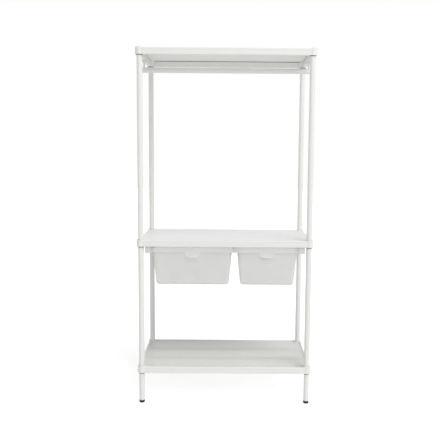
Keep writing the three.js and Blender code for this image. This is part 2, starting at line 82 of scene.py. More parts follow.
def length(name, description, millimetres):
    return bpy.props.FloatProperty(
        name=name, description=description, default=millimetres * MM,
        min=0.0, precision=5, unit="LENGTH", subtype="DISTANCE",
    )


def colour(name, description, value):
    return bpy.props.FloatVectorProperty(
        name=name, description=description, default=value, size=3, min=0.0, max=1.0, subtype="COLOR",
    )


def amount(name, description, value, high=1000.0):
    return bpy.props.FloatProperty(name=name, description=description, default=value, min=0.0, max=high)


def degrees(name, description, value):
    return bpy.props.FloatProperty(
        name=name, description=description, default=math.radians(value), unit="ROTATION", subtype="ANGLE",
    )


def number(name, description, value):
    return bpy.props.IntProperty(name=name, description=description, default=value, min=1)


def position(name, description, value):
    return bpy.props.FloatVectorProperty(
        name=name, description=description, default=value, size=3, unit="LENGTH", subtype="XYZ",
    )


class WardrobePosts(bpy.types.PropertyGroup):
    wall: length("Tube wall", "Thickness of a post's wall", 1.2)
    groove_depth: length("Groove depth", "Depth of the rings that a sleeve locks into", 0.7)
    groove_height: length("Groove height", "Height of the rings that a sleeve locks into", 4)
    edge: length("Edge rounding", "Rounding of a post's ends", 0.4)
    foot_ribs: number("Foot ribs", "Grip ribs round a levelling foot", 24)
    foot_rib: length("Foot rib", "How far a grip rib stands out", 0.9)
    stud: length("Stud", "Diameter of a foot's stud", 8)
    stud_pitch: length("Stud pitch", "Pitch of the stud's thread", 1.25)
    dome: length("Plug dome", "Rise of the plug in the top of a post", 3)
    sleeve_slit: length("Sleeve slit", "Width of the slit in a sleeve", 1.5)
    sleeve_gap: length("Sleeve gap", "Room between a sleeve and its post or collar", 0.3)
    sleeve_taper: length("Sleeve taper", "How much thinner a sleeve's wall is at its top", 0.9)
    sleeve_lip: length("Sleeve edge", "Rounding of a sleeve's lower edge", 0.6)
    sleeve_push: length("Sleeve push", "How much deeper each sleeve sits than the one a shelf below", 1)


class WardrobeShelves(bpy.types.PropertyGroup):
    sheet: length("Sheet", "Thickness of the folded sheet", 1.2)
    fold: length("Fold", "Radius of the sheet's tight bends", 2)
    recess: length("Rim recess", "How far a rim stands back from the collars' outside", 2.5)
    rim_height: length("Rim height", "Height of a shelf's rim", 34)
    top_radius: length("Upper bend", "Radius of a rim's upper bend", 4)
    bottom_radius: length("Lower bend", "Radius of a rim's lower bend", 3)
    flange: length("Return flange", "Width of the flange under a shelf", 20)
    hem: length("Hem", "Height of the hem that stands on the flange's edge", 30.5)
    groove_drop: length("Groove drop", "From the shelf's top down to the rim's groove", 11)
    groove_height: length("Groove height", "Height of the rim's groove", 6)
    groove_depth: length("Groove depth", "Depth of the rim's groove", 1)
    groove_radius: length("Groove radius", "Rounding of the rim's groove", 2)
    collar_diameter: length("Collar diameter", "Outside diameter of a corner collar", 42)
    collar_above: length("Collar above", "How far a collar stands above the shelf", 2)
    collar_edge: length("Collar edge", "Rounding of a collar's upper end", 1)
    collar_foot: length("Collar foot", "Rounding of a collar's lower end", 0.4)
    land: length("Land width", "Flat edge round the bottom shelf's mesh", 9)
    ledge: length("Ledge width", "Ledge that carries the mesh", 12)
    ledge_gap: length("Ledge gap", "Room between the ledge and the mesh", 0.2)
    crown: length("Stiffener crown", "Width of a stiffener's crown", 18)
    slope: length("Stiffener slope", "How far each side of a stiffener leans out", 5)


class WardrobeMesh(bpy.types.PropertyGroup):
    wire: length("Wire", "Diameter of a wire of the bottom shelf's mesh", 0.95)
    pitch: length("Pitch", "Distance between wires", 3.0)
    wire_sides: number("Wire sides", "Sides of a wire's section", 6)
    collar_room: length("Collar room", "Room between the wires and a corner collar", 1)


class WardrobeRail(bpy.types.PropertyGroup):
    wall: length("Rail wall", "Thickness of the rail's tube", 1.5)
    edge: length("Rail edge", "Rounding of the rail's ends", 0.4)
    gap: length("Rail gap", "Room between the rail's end and a bracket's body", 0.2)
    spigot: length("Spigot", "Length of the spigot inside the rail", 28)
    spigot_gap: length("Spigot gap", "Room round the spigot", 0.4)
    web: length("Web", "Thickness of a bracket's web", 6)
    web_inset: length("Web inset", "From a bracket's outer end to its web", 8)
    web_top: length("Web top", "Width of the web under the shelf", 42)
    web_bottom: length("Web bottom", "Width of the web at the rail", 26)
    plate: length("Foot plate", "Thickness of a bracket's foot plate", 3)
    plate_width: length("Foot plate width", "Width of a bracket's foot plate", 17)
    plate_inset: length("Foot plate inset", "From a bracket's outer end to its foot plate", 1.5)
    plate_corner: length("Foot plate corner", "Radius of the foot plate's corners", 5)
    voxel: length("Casting grain", "Size of the cells that round a bracket's inner corners", 0.9)


class WardrobeRunners(bpy.types.PropertyGroup):
    sheet: length("Runner sheet", "Thickness of a runner", 1.5)
    radius: length("Runner bend", "Radius of a runner's bends", 2.5)
    end_drop: length("Side end drop", "How far a side runner's closed front reaches below it", 7)
    divider_drop: length("Centre end drop", "How far the centre runner's closed front reaches below it", 4)
    flange: length("Runner flange", "Width of a side runner's top flange", 20)
    divider: length("Divider", "Width of the centre runner's hat", 10.8)
    side_gap: length("Side gap", "Room between a drawer and the closed end beside it", 0.7)
    stop_height: length("Stop height", "Height of the stop behind a drawer", 8)
    stop_gap: length("Stop gap", "Room between a drawer and its stop", 0.3)
    stop_width: length("Stop width", "Width of a side runner's stop", 18)


class WardrobeScrews(bpy.types.PropertyGroup):
    head: length("Head height", "Height of a screw's head", 2.4)
    head_radius: length("Head rounding", "Rounding of a screw's head", 1.6)
    shank: length("Shank", "Diameter of a screw's thread", 4)
    pitch: length("Pitch", "Pitch of a screw's thread", 0.7)
    cross: length("Cross", "Length of the arms of a head's recess", 2.1)
    slot: length("Slot", "Half the width of the recess", 0.45)
    depth: length("Recess depth", "Depth of the recess", 1.2)
    hole: length("Screw hole", "Diameter of a screw's hole", 4.6)
    from_end: length("Screw place", "From a runner's end to its screw", 7)


class WardrobeDrawers(bpy.types.PropertyGroup):
    wall: length("Drawer wall", "Thickness of a drawer's wall", 2)
    lean: length("Lean", "How far a wall leans in over the drawer's height", 19)
    corner: length("Corner radius", "Radius of a drawer's upright corners, under the rim", 26)
    square: length("Rim squareness", "How much tighter the rim's corners are than the walls'", 22)
    fillet: length("Bottom radius", "Radius between the walls and the floor", 14)
    rim: length("Rim width", "How far the rim stands out from the wall", 5.5)
    rim_drop: length("Rim drop", "Height of the rim's outer lip", 12)
    rim_thickness: length("Rim thickness", "Thickness of the rim", 2)
    rim_radius: length("Rim rounding", "Rounding of the rim's upper edge", 2.2)
    foot_inset: length("Floor panel inset", "From the floor's edge to its raised panel", 9)
    foot_rise: length("Floor panel rise", "How far the floor's panel is raised", 1.2)
    band_above: length("Front lip above", "How far the front lip stands above the rim", 11)
    band_below: length("Front lip below", "How far the front lip reaches below the rim's lip", 3.5)
    pull_width: length("Pull width", "Width of the finger pull", 80)
    pull_drop: length("Pull drop", "From the rim's lip down to the pull's edge", 29)
    pull_reach: length("Pull reach", "Room that the pull takes up in front of the rim", 3.5)
    pull_flare: length("Pull flare", "How far the pull's lower edge curls forward", 3.2)
    pull_bead: length("Pull bead", "How much thicker the pull's lower edge is", 0.7)
    upper_rib: length("Upper rib", "From the rim's top down to the upper grip rib", 56)
    lower_rib: length("Lower rib", "From the rim's top down to the lower grip rib", 68)
    upper_rib_width: length("Upper rib width", "Width of the upper grip rib", 74)
    lower_rib_width: length("Lower rib width", "Width of the lower grip rib", 64)
    rib_rise: length("Rib rise", "How far a grip rib's ends rise", 5)
    rib_height: length("Rib height", "Height of a grip rib", 5)
    rib_proud: length("Rib proud", "How far a grip rib stands out", 3)


class WardrobeFinishes(bpy.types.PropertyGroup):
    paint: colour("Frame paint", "Powder coat of posts and shelves", (0.88, 0.88, 0.858))
    # The runners' colour is set darker than the frame's paint, so their front ends come out darker than the
    # rims
    runner: colour("Runner paint", "Powder coat of the runners", (0.72, 0.72, 0.702))
    # Painted light: the stiffeners get the frame's paint made lighter, to brighten them where they sit in the
    # shade under the mesh
    stiffener: colour("Stiffener paint", "Powder coat under the mesh", (0.96, 0.96, 0.94))
    rail: colour("Rail paint", "Powder coat of the rail", (0.87, 0.87, 0.85))
    mesh: colour("Mesh paint", "Powder coat of the wires", (0.87, 0.87, 0.85))
    drawer: colour("Drawer plastic", "Moulded plastic of the drawers", (0.95, 0.947, 0.937))
    drawer_haze: amount("Drawer haze", "How much of what is behind it a drawer's wall hides", 0.45, 1.0)
    drawer_glow: amount("Drawer glow", "Share of the light that spreads through a drawer's wall", 0.2, 1.0)
    black: colour("Black plastic", "Sleeves and feet", (0.018, 0.018, 0.019))
    plug: colour("Plug plastic", "Plugs in the posts", (0.74, 0.74, 0.72))
    zinc: colour("Zinc", "Screws and studs", (0.62, 0.63, 0.65))


class WardrobeStage(bpy.types.PropertyGroup):
    focal_pixels: amount("Focal length", "Focal length in pixels of the photograph", 635.7)
    photo_pixels: amount("Photo width", "Width of the photograph in pixels", 447.0)
    centre_pixels: amount("Centre offset", "From the photograph's middle to its optical axis", 9.35)
    pitch: degrees("Camera pitch", "How far the camera looks down", 6.307)
    yaw: degrees("Camera yaw", "How far the camera turns to the left", -0.224)
    roll: degrees("Camera roll", "How far the camera leans", 0.443)
    place: position("Camera place", "Where the camera stands", (0.0266, -3.4419, 1.2994))
    floor: length("Floor size", "Length of the floor's sides", 40000)
    paper: colour("Floor paper", "Colour of the floor", (0.96, 0.96, 0.96))
    floor_glow: amount("Floor glow", "What the floor adds to its own light before the camera", 0.455)
    ambient: amount("Ambient", "Strength of the even light from all round", 0.51)
    daylight: amount("Daylight", "Strength of the broad light from above, in front and to the right", 1.15)
    spread: degrees("Spread", "How far round the broad light reaches", 36.0)
    rise: degrees("Rise", "Height of the broad light above the floor", 50.0)
    side: degrees("Side", "How far the broad light stands to the right of straight ahead", 42.0)
    key: amount("Key light", "Strength of the lamp above, in front", 15.0)
    key_size: length("Key size", "Length of the key lamp's sides", 1600)
    key_place: position("Key place", "Where the key lamp hangs", (1.6, -2.6, 2.8))
    key_target: position("Key target", "Where the key lamp points", (0.1, 0.0, 1.7))


GROUPS = {
    "wardrobe_posts": WardrobePosts,
    "wardrobe_shelves": WardrobeShelves,
    "wardrobe_mesh": WardrobeMesh,
    "wardrobe_rail": WardrobeRail,
    "wardrobe_runners": WardrobeRunners,
    "wardrobe_screws": WardrobeScrews,
    "wardrobe_drawers": WardrobeDrawers,
    "wardrobe_finishes": WardrobeFinishes,
    "wardrobe_stage": WardrobeStage,
}


# Shaping: outlines


def bent(corners, steps=8):
    """A path of corners (x, y) or (x, y, radius), with each corner that has a radius rounded by an arc."""
    points = []
    for i, (x, y, *rest) in enumerate(corners):
        here = Vector((x, y))
        radius = rest[0] if rest else 0
        if not radius or i in (0, len(corners) - 1):
            points.append(here)
            continue
        before = (Vector(corners[i - 1][:2]) - here).normalized()
        after = (Vector(corners[i + 1][:2]) - here).normalized()
        half = before.angle(after) / 2
        centre = here + (before + after).normalized() * radius / math.sin(half)
        start = here + before * radius / math.tan(half) - centre
        turn = -math.copysign(math.pi - 2 * half, before.cross(after))
        points += [centre + Matrix.Rotation(turn * k / steps, 2) @ start for k in range(steps + 1)]
    return points


def strip(corners, thickness, steps=6):
    """The outline of a folded strip: a path, and the same path moved to its right by the thickness."""
    outer = bent(corners, steps)
    turns = [Vector((b.y - a.y, a.x - b.x)).normalized() for a, b in zip(outer, outer[1:])]
    inner = []
    for i, point in enumerate(outer):
        into, out = turns[max(i - 1, 0)], turns[min(i, len(turns) - 1)]
        mean = (into + out).normalized()
        inner.append(point + mean * thickness / mean.dot(into))
    return outer + inner[::-1]


def rounded_rectangle(half_x, half_y, radius, steps):
    """Points round a rectangle with round corners, in the order of the angle."""
    points = []
    for quarter in range(4):
        sign_x = 1 if quarter in (0, 3) else -1
        sign_y = 1 if quarter < 2 else -1
        for k in range(steps + 1):
            angle = math.pi / 2 * (quarter + k / steps)
            x = sign_x * (half_x - radius) + radius * math.cos(angle)
            y = sign_y * (half_y - radius) + radius * math.sin(angle)
            points.append(Vector((x, y)))
    return points


def upright_tab(half, foot, head, radius, steps):
    """The outline of a tab with round upper corners, seen from the front."""
    return bent([(-half, foot), (-half, head, radius), (half, head, radius), (half, foot)], steps)


def thread(radius, depth, pitch, start, end):
    """The profile of a thread's turns, from start up to end at the most."""
    turns = []
    while start + pitch < end:
        turns += [(radius - depth, start), (radius, start + pitch / 2)]
        start += pitch
    return turns


# Shaping: meshes


def closed(bm):
    """A mesh with its doubles merged and its faces pointing out."""
    touching = 1e-7
    bmesh.ops.remove_doubles(bm, verts=bm.verts, dist=touching)
    bmesh.ops.dissolve_degenerate(bm, edges=bm.edges, dist=touching)
    bmesh.ops.recalc_face_normals(bm, faces=bm.faces)
    return bm


def turned(profile, steps=56, start=0.0, sweep=math.tau):
    """A closed profile of (radius, height) pairs turned about Z, all the way round or with flat ends."""
    bm = bmesh.new()
    whole = sweep == math.tau
    columns = []
    for i in range(steps if whole else steps + 1):
        angle = start + sweep * i / steps
        columns.append([bm.verts.new((r * math.cos(angle), r * math.sin(angle), z)) for r, z in profile])
    count = len(profile)
    pairs = zip(columns, columns[1:] + columns[:1]) if whole else zip(columns, columns[1:])
    for a, b in pairs:
        for k in range(count):
            n = (k + 1) % count
            if profile[k][0] > 0 or profile[n][0] > 0:
                bm.faces.new((a[k], b[k], b[n], a[n]))
    if not whole:
        bm.faces.new(columns[0])
        bm.faces.new(columns[-1][::-1])
    return closed(bm)


def loft(rings):
    """A skin through closed rings of equally many points, closed by flat ends."""
    bm = bmesh.new()
    rows = [[bm.verts.new(p) for p in ring] for ring in rings]
    for low, high in zip(rows, rows[1:]):
        for k in range(len(low)):
            n = (k + 1) % len(low)
            bm.faces.new((low[k], low[n], high[n], high[k]))
    bm.faces.new(rows[0][::-1])
    bm.faces.new(rows[-1])
    return closed(bm)


def prism(outline, depth, across=X, up=Y, centre=Vector()):
    """A prism of an outline in a plane of across and up, centred on its depth."""
    along = across.cross(up) * depth / 2
    place = [centre + across * p[0] + up * p[1] for p in outline]
    return loft([[p - along for p in place], [p + along for p in place]])


def moved(bm, offset):
    bmesh.ops.translate(bm, verts=bm.verts, vec=offset)
    return bm


def round_bar(profile, height):
    """A profile of (radius, place) pairs turned about a level axis along X at a height."""
    bar = turned(profile)
    bmesh.ops.rotate(bar, verts=bar.verts, matrix=Matrix.Rotation(math.pi / 2, 3, "Y"))
    return moved(bar, Z * height)


def drill(diameter, x, y, z, reach=6 * MM):
    """An upright round cutter that reaches as far above a point as below it."""
    radius = diameter / 2
    profile = [(0, -reach), (radius, -reach), (radius, reach), (0, reach)]
    return moved(turned(profile, 20), Vector((x, y, z)))


def as_object(bm, name="shape"):
    mesh = bpy.data.meshes.new(name)
    bm.to_mesh(mesh)
    bm.free()
    made = bpy.data.objects.new(name, mesh)
    bpy.context.scene.collection.objects.link(made)
    return made


def settled(made):
    """The object with its modifiers taken up into a plain mesh."""
    bpy.context.view_layer.update()
    graph = bpy.context.evaluated_depsgraph_get()
    mesh = bpy.data.meshes.new_from_object(made.evaluated_get(graph), depsgraph=graph)
    made.modifiers.clear()
    made.data = mesh
    return made


def shape_of(made):
    """The shape that an object's modifiers give; the object itself is spent."""
    bm = bmesh.new()
    bm.from_mesh(settled(made).data)
    bpy.data.objects.remove(made)
    return bm


def combined(base, joined=(), cut=()):
    """A mesh with others joined to it and then others cut from it."""
    whole = as_object(base)
    tools = []
    for operation, shapes in (("UNION", joined), ("DIFFERENCE", cut)):
        for shape in shapes:
            tools.append(as_object(shape))
            step = whole.modifiers.new("step", "BOOLEAN")
            step.solver, step.operation, step.object = "MANIFOLD", operation, tools[-1]
    bm = shape_of(whole)
    for tool in tools:
        bpy.data.objects.remove(tool)
    return bm


def soft_edged(bm, width):
    """A shape with its sharp edges rounded."""
    made = as_object(bm)
    bevel = made.modifiers.new("Round edge", "BEVEL")
    bevel.width, bevel.segments, bevel.limit_method = width, 3, "ANGLE"
    bevel.angle_limit = math.radians(50)
    return closed(shape_of(made))


def finished(name, bm, finish, nodes=(), body="frame", sharp=32.0):
    """A piece of the wardrobe: painted, smooth except at sharp edges, and riding on its body."""
    for face in bm.faces:
        face.smooth = True
        face.material_index = 0
    for edge in bm.edges:
        edge.smooth = not edge.is_manifold or edge.calc_face_angle() < math.radians(sharp)
    made = as_object(bm, name)
    made.data.materials.clear()
    made.data.materials.append(finish_named(finish))
    weighted = made.modifiers.new("Flat faces stay flat", "WEIGHTED_NORMAL")
    weighted.keep_sharp = True
    settled(made)
    made.data.name = name
    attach(made, body)
    if nodes:
        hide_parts(*nodes)


# Node trees


class Value:
    """A number that a node puts out, for use in arithmetic."""

    def __init__(self, tree, socket):
        self.tree, self.socket = tree, socket

    def maths(self, operation, first, second=0.0):
        made = self.tree.node("ShaderNodeMath", {0: first, 1: second}, operation=operation)
        return Value(self.tree, made.outputs[0])

    def __add__(self, other):
        return self.maths("ADD", self, other)

    def __sub__(self, other):
        return self.maths("SUBTRACT", self, other)

    def __rsub__(self, other):
        return self.maths("SUBTRACT", other, self)

    def __mul__(self, other):
        return self.maths("MULTIPLY", self, other)

    def __truediv__(self, other):
        return self.maths("DIVIDE", self, other)

    def __rtruediv__(self, other):
        return self.maths("DIVIDE", other, self)

    __radd__ = __add__
    __rmul__ = __mul__

    def __abs__(self):
        return self.maths("ABSOLUTE", self)

    def over(self, edge):
        return self.maths("GREATER_THAN", self, edge)

    def at_least(self, least):
        return self.maths("MAXIMUM", self, least)

    def root(self):
        return self.maths("SQRT", self)


class Tree:
    """A node tree that is built one node at a time."""

    def __init__(self, tree):
        self.tree = tree

    def node(self, kind, sockets=None, **settings):
        """A node of a kind, with its settings made first and then its sockets fed."""
        made = self.tree.nodes.new(kind)
        for key, value in settings.items():
            if key == "stops":
                self.set_stops(made.color_ramp, value)
            else:
                setattr(made, key, value)
        for key, value in (sockets or {}).items():
            self.feed(made.inputs[key], value)
        return made

    def set_stops(self, ramp, stops):
        while len(ramp.elements) < len(stops):
            ramp.elements.new(0.5)
        for element, (place, value) in zip(ramp.elements, stops):
            element.position = place
            element.color = (value, value, value, 1.0)

    def feed(self, socket, value):
        if isinstance(value, Value):
            value = value.socket
        if isinstance(value, bpy.types.Node):
            value = value.outputs[0]
        if isinstance(value, bpy.types.NodeSocket):
            self.tree.links.new(value, socket)
        elif socket.type == "RGBA":
            socket.default_value = (*value, 1.0)
        else:
            socket.default_value = value

    def value(self, node, output=0):
        return Value(self, node.outputs[output])


class Surface(Tree):
    """A material's node tree, with the patterns that these finishes share."""

    def __init__(self, name):
        self.material = bpy.data.materials.new(name)
        self.material.use_nodes = True
        super().__init__(self.material.node_tree)
        self.tree.nodes.clear()
        self.place = self.node("ShaderNodeTexCoord").outputs["Object"]

    def noise(self, scale, detail=2.0, stretch=(1.0, 1.0, 1.0)):
        place = self.node("ShaderNodeMapping", {"Vector": self.place, "Scale": stretch})
        return self.value(self.node(
            "ShaderNodeTexNoise", {"Vector": place, "Scale": scale, "Detail": detail, "Roughness": 0.55},
            noise_dimensions="3D",
        ))

    def ramp(self, factor, stops):
        return self.value(self.node("ShaderNodeValToRGB", {"Fac": factor}, stops=stops))

    def blend(self, factor, first, second):
        made = self.node("ShaderNodeMix", {"Factor": factor, 6: first, 7: second}, data_type="RGBA")
        return made.outputs[2]

    def bump(self, height, distance, strength, under=None):
        sockets = {"Height": height, "Distance": distance, "Strength": strength}
        if under is not None:
            sockets["Normal"] = under
        return self.node("ShaderNodeBump", sockets)

    def finish(self, sockets, glow=0.0, shade=None):
        """Ends the tree in one shader, or mixes it with light that spreads through a thin wall."""
        shader = self.node("ShaderNodeBsdfPrincipled", sockets)
        if glow:
            spread = self.node("ShaderNodeBsdfTranslucent", {"Color": shade})
            shader = self.node("ShaderNodeMixShader", {"Fac": glow, 1: shader, 2: spread})
        self.node("ShaderNodeOutputMaterial", {"Surface": shader})
        return self.material


def tinted(shade, factor):
    return tuple(min(1.0, channel * factor) for channel in shade)


def powder_coat(name, shade, grain=1100.0):
    """Painted steel: a faint orange peel, a slow drift of tone and a few duller patches."""
    surface = Surface(name)
    drift = surface.noise(3.2, 3.0)
    patches = surface.ramp(surface.noise(17.0, 4.0), ((0.42, 0.0), (0.68, 1.0)))
    peel = surface.noise(grain)
    settle = surface.noise(grain / 6)
    tone = surface.blend(drift, tinted(shade, 0.972), tinted(shade, 1.02))
    return surface.finish({
        "Base Color": surface.blend(patches * 0.22, tone, tinted(shade, 0.95)),
        "Roughness": 0.36 + patches * 0.07 + peel * 0.05,
        "Normal": surface.bump(peel * 0.65 + settle * 0.35, 0.00007, 0.55),
        "Metallic": 0.0, "IOR": 1.5,
    })


def moulded_plastic(name, shade, haze=1.0, glow=0.0):
    """Injection-moulded plastic: faint flow marks, a fine grain and a slightly cloudy tone."""
    surface = Surface(name)
    cloud = surface.noise(9.0, 3.0)
    flow = surface.noise(26.0, 3.0, (1.0, 1.0, 0.22))
    grain = surface.bump(surface.noise(2400.0), 0.00004, 0.5)
    sockets = {
        "Base Color": surface.blend(cloud, tinted(shade, 0.965), tinted(shade, 1.03)),
        "Roughness": 0.42 + (flow - 0.5) * 0.14,
        "Normal": surface.bump(flow, 0.0005, 0.16, grain),
        "IOR": 1.49,
    }
    if haze < 1.0:
        sockets["Alpha"] = haze + (cloud - 0.5) * 0.06
    return surface.finish(sockets, glow, shade)


def black_plastic(name, shade, grain=1700.0):
    """Black moulded plastic with a leathery grain and slightly rubbed high spots."""
    surface = Surface(name)
    grains = surface.noise(grain, 3.0)
    rubbed = surface.ramp(surface.noise(60.0, 3.0), ((0.48, 0.0), (0.74, 1.0)))
    return surface.finish({
        "Base Color": surface.blend(rubbed * 0.5, shade, tinted(shade, 1.9)),
        "Roughness": 0.62 - rubbed * 0.14,
        "Normal": surface.bump(grains, 0.00009, 0.6),
    })


def zinc_plate(name, shade):
    """Bright zinc plating: fine turning marks and a cloudy, uneven gloss."""
    surface = Surface(name)
    cloud = surface.noise(240.0, 3.0)
    marks = surface.noise(3200.0, 2.0, (0.3, 0.3, 1.0))
    return surface.finish({
        "Base Color": surface.blend(cloud, tinted(shade, 0.9), tinted(shade, 1.08)),
        "Roughness": 0.24 + cloud * 0.16,
        "Metallic": 1.0,
        "Normal": surface.bump(marks, 0.00002, 0.5),
    })


FINISHES = {}


def finish_named(name):
    """One of the wardrobe's finishes, made when it is first asked for."""
    if name not in FINISHES:
        shades = bpy.context.scene.wardrobe_finishes
        make, *details = {
            "white_paint": (powder_coat, shades.paint),
            # Runner colour, set darker than the frame's paint
            "runner_paint": (powder_coat, shades.runner),
            # Painted light: a lighter copy of the frame's paint for the stiffeners, against the shade under
            # the mesh
            "stiffener_paint": (powder_coat, shades.stiffener),
            "rail_paint": (powder_coat, shades.rail),
            "bracket_paint": (powder_coat, shades.rail, 800.0),
            "mesh_paint": (powder_coat, shades.mesh, 1600.0),
            "drawer_plastic": (moulded_plastic, shades.drawer, shades.drawer_haze, shades.drawer_glow),
            "plug_plastic": (moulded_plastic, shades.plug),
            "sleeve_plastic": (black_plastic, shades.black),
            "foot_plastic": (black_plastic, shades.black, 900.0),
            "screw_steel": (zinc_plate, shades.zinc),
        }[name]
        FINISHES[name] = make(name, *details)
    return FINISHES[name]


class Geometry(Tree):
    """A Geometry Nodes tree with named inputs, ended by Realize Instances and Set Material."""

    def __init__(self, name, **inputs):
        super().__init__(bpy.data.node_groups.new(name, "GeometryNodeTree"))
        face = self.tree.interface
        face.new_socket("Geometry", in_out="INPUT", socket_type="NodeSocketGeometry")
        self.identifiers = {}
        for key, kind in {**inputs, "Material": "Material"}.items():
            socket = face.new_socket(key, in_out="INPUT", socket_type="NodeSocket" + kind)
            self.identifiers[key] = socket.identifier
        face.new_socket("Geometry", in_out="OUTPUT", socket_type="NodeSocketGeometry")
        self.source = self.node("NodeGroupInput")

    def given(self, key):
        return self.value(self.source, key)

    def given_shape(self):
        info = self.node("GeometryNodeObjectInfo", {"Object": self.given("Shape")})
        return info.outputs["Geometry"]

    def end(self, points, instance, **sockets):
        """A copy of an instance at each point, made real and painted."""
        sockets = {"Points": points, "Instance": instance, **sockets}
        copies = self.node("GeometryNodeInstanceOnPoints", sockets)
        plain = self.node("GeometryNodeRealizeInstances", {"Geometry": copies})
        material = self.given("Material")
        painted = self.node("GeometryNodeSetMaterial", {"Geometry": plain, "Material": material})
        self.node("NodeGroupOutput", {"Geometry": painted})

    def grown(self, carrier, finish, **values):
        """The carrier's mesh after the tree has run on it with these inputs; a given shape is spent."""
        values["Material"] = finish_named(finish)
        if "Shape" in values:
            values["Shape"] = as_object(values["Shape"])
        made = as_object(carrier)
        modifier = made.modifiers.new("Grow", "NODES")
        modifier.node_group = self.tree
        for key, value in values.items():
            modifier[self.identifiers[key]] = value
        bm = shape_of(made)
        if "Shape" in values:
            bpy.data.objects.remove(values["Shape"])
        return bm


def copies_at(name, shape, points, finish):
    """A mesh that holds a copy of a shape at each point."""
    tree = Geometry(name, Shape="Object")
    tree.end(tree.source.outputs["Geometry"], tree.given_shape())
    carrier = bmesh.new()
    for point in points:
        carrier.verts.new(point)
    return tree.grown(carrier, finish, Shape=shape)


# Posts, plugs, inserts and feet


def shelf_level(node, sizes):
    """The height of a shelf's top face."""
    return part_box(node)[1].z - sizes.collar_above


def build_post(context, corner):
    sizes, shelves = context.scene.wardrobe_posts, context.scene.wardrobe_shelves
    low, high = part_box("post_" + corner)
    outer, edge, half = (high.x - low.x) / 2, sizes.edge, sizes.groove_height / 2
    inner = outer - sizes.wall
    groove_drop = middle_of("sleeve_top_front_left").z - shelf_level("shelf_top", shelves)
    profile = [(inner, high.z), (inner, low.z), (outer - edge, low.z), (outer, low.z + edge)]
    for count, node in enumerate(SHELVES.values()):
        middle = shelf_level(node, shelves) + groove_drop + count * sizes.sleeve_push
        profile += [(outer, middle - half), (outer - sizes.groove_depth, middle), (outer, middle + half)]
    profile += [(outer, high.z - edge), (outer - edge, high.z)]
    finished("tube_" + corner, moved(turned(profile), POSTS[corner]), "white_paint", ["post_" + corner])


def build_plug(context, corner):
    sizes = context.scene.wardrobe_posts
    node = "post_plug_" + corner
    low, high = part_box(node)
    outer, edge = (high.x - low.x) / 2, sizes.edge
    stem = outer - sizes.wall - sizes.sleeve_gap
    base = high.z - sizes.dome + edge / 2
    profile = [(0, low.z), (stem - edge, low.z), (stem, low.z + edge), (stem, base - edge / 2)]
    profile += [(outer, base - edge / 2), (outer, base)]
    steps = 8
    for k in range(1, steps):
        angle = math.pi / 2 * k / steps
        profile.append((outer * math.cos(angle), base + (high.z - base) * math.sin(angle)))
    profile.append((0, high.z))
    finished("cap_" + corner, moved(turned(profile), POSTS[corner]), "plug_plastic", [node])


# A foot's lower and upper edges, as (inwards, along) steps
FOOT_TOE = ((2.4 * MM, 0), (0.5 * MM, 1.6 * MM), (0, 2.8 * MM))
FOOT_SHOULDER = ((0, 1.2 * MM), (1.0 * MM, 0))
# How far a foot's ribs stay from its lower and its upper face
FOOT_RIB_ENDS = (3.0 * MM, 1.4 * MM)


def foot_ribs(sizes, radius, low, high):
    """The grip ribs round a foot, from a height up to another."""
    tree = Geometry("foot_ribs", Count="Int", Radius="Float", Shape="Object")
    count, around = tree.given("Count"), tree.given("Radius")
    circle = tree.node("GeometryNodeMeshCircle", {"Vertices": count, "Radius": around})
    facing = tree.node(
        "FunctionNodeAlignRotationToVector", {"Vector": tree.node("GeometryNodeInputPosition")}, axis="X",
    )
    tree.end(circle, tree.given_shape(), Rotation=facing)
    half, shoulder, crest, soft = 0.85 * MM, 0.2 * MM, 0.8 * MM, 0.4 * MM
    outline = bent([
        (-2 * half, -half), (shoulder, -half, soft), (crest, 0), (shoulder, half, soft), (-2 * half, half),
    ], 3)
    rib = prism(outline, high - low, centre=Z * (low + high) / 2)
    return tree.grown(bmesh.new(), "foot_plastic", Count=sizes.foot_ribs, Radius=radius, Shape=rib)


def build_foot(context, corner):
    """A ribbed pad in black plastic, and the zinc-plated stud that it turns on."""
    sizes = context.scene.wardrobe_posts
    node = "foot_" + corner
    low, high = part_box(node)
    core = (high.x - low.x) / 2 - sizes.foot_rib
    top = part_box("post_" + corner)[0].z - sizes.sleeve_gap
    profile = [(0, low.z), *((core - inwards, low.z + up) for inwards, up in FOOT_TOE)]
    profile += [*((core - inwards, top - down) for inwards, down in FOOT_SHOULDER), (0, top)]
    ribs = foot_ribs(sizes, core, low.z + FOOT_RIB_ENDS[0], top - FOOT_RIB_ENDS[1])
    pad = combined(turned(profile), joined=[ribs])
    finished("pad_" + corner, moved(pad, POSTS[corner]), "foot_plastic", [node], node)
    stud, depth, chamfer, start = sizes.stud / 2, 0.6 * MM, 0.8 * MM, top - MM
    turns = thread(stud, depth, sizes.stud_pitch, start, high.z - MM)
    shank = turned([(0, start), *turns, (stud - chamfer, high.z), (0, high.z)], 24)
    finished("stud_" + corner, moved(shank, POSTS[corner]), "screw_steel", body=node)


class WARDROBE_OT_posts(bpy.types.Operator):
    """Builds the four posts, with a plug in the top of each"""

    bl_idname = "wardrobe.posts"
    bl_label = "Posts"

    def execute(self, context):
        for corner in CORNERS:
            build_post(context, corner)
            build_plug(context, corner)
        return {"FINISHED"}


class WARDROBE_OT_feet(bpy.types.Operator):
    """Builds the levelling feet and finishes the threaded inserts over them"""

    bl_idname = "wardrobe.feet"
    bl_label = "Feet"

    def execute(self, context):
        for corner in CORNERS:
            build_foot(context, corner)
            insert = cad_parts["foot_insert_" + corner]
            insert.data.materials.clear()
            insert.data.materials.append(finish_named("plug_plastic"))
        return {"FINISHED"}


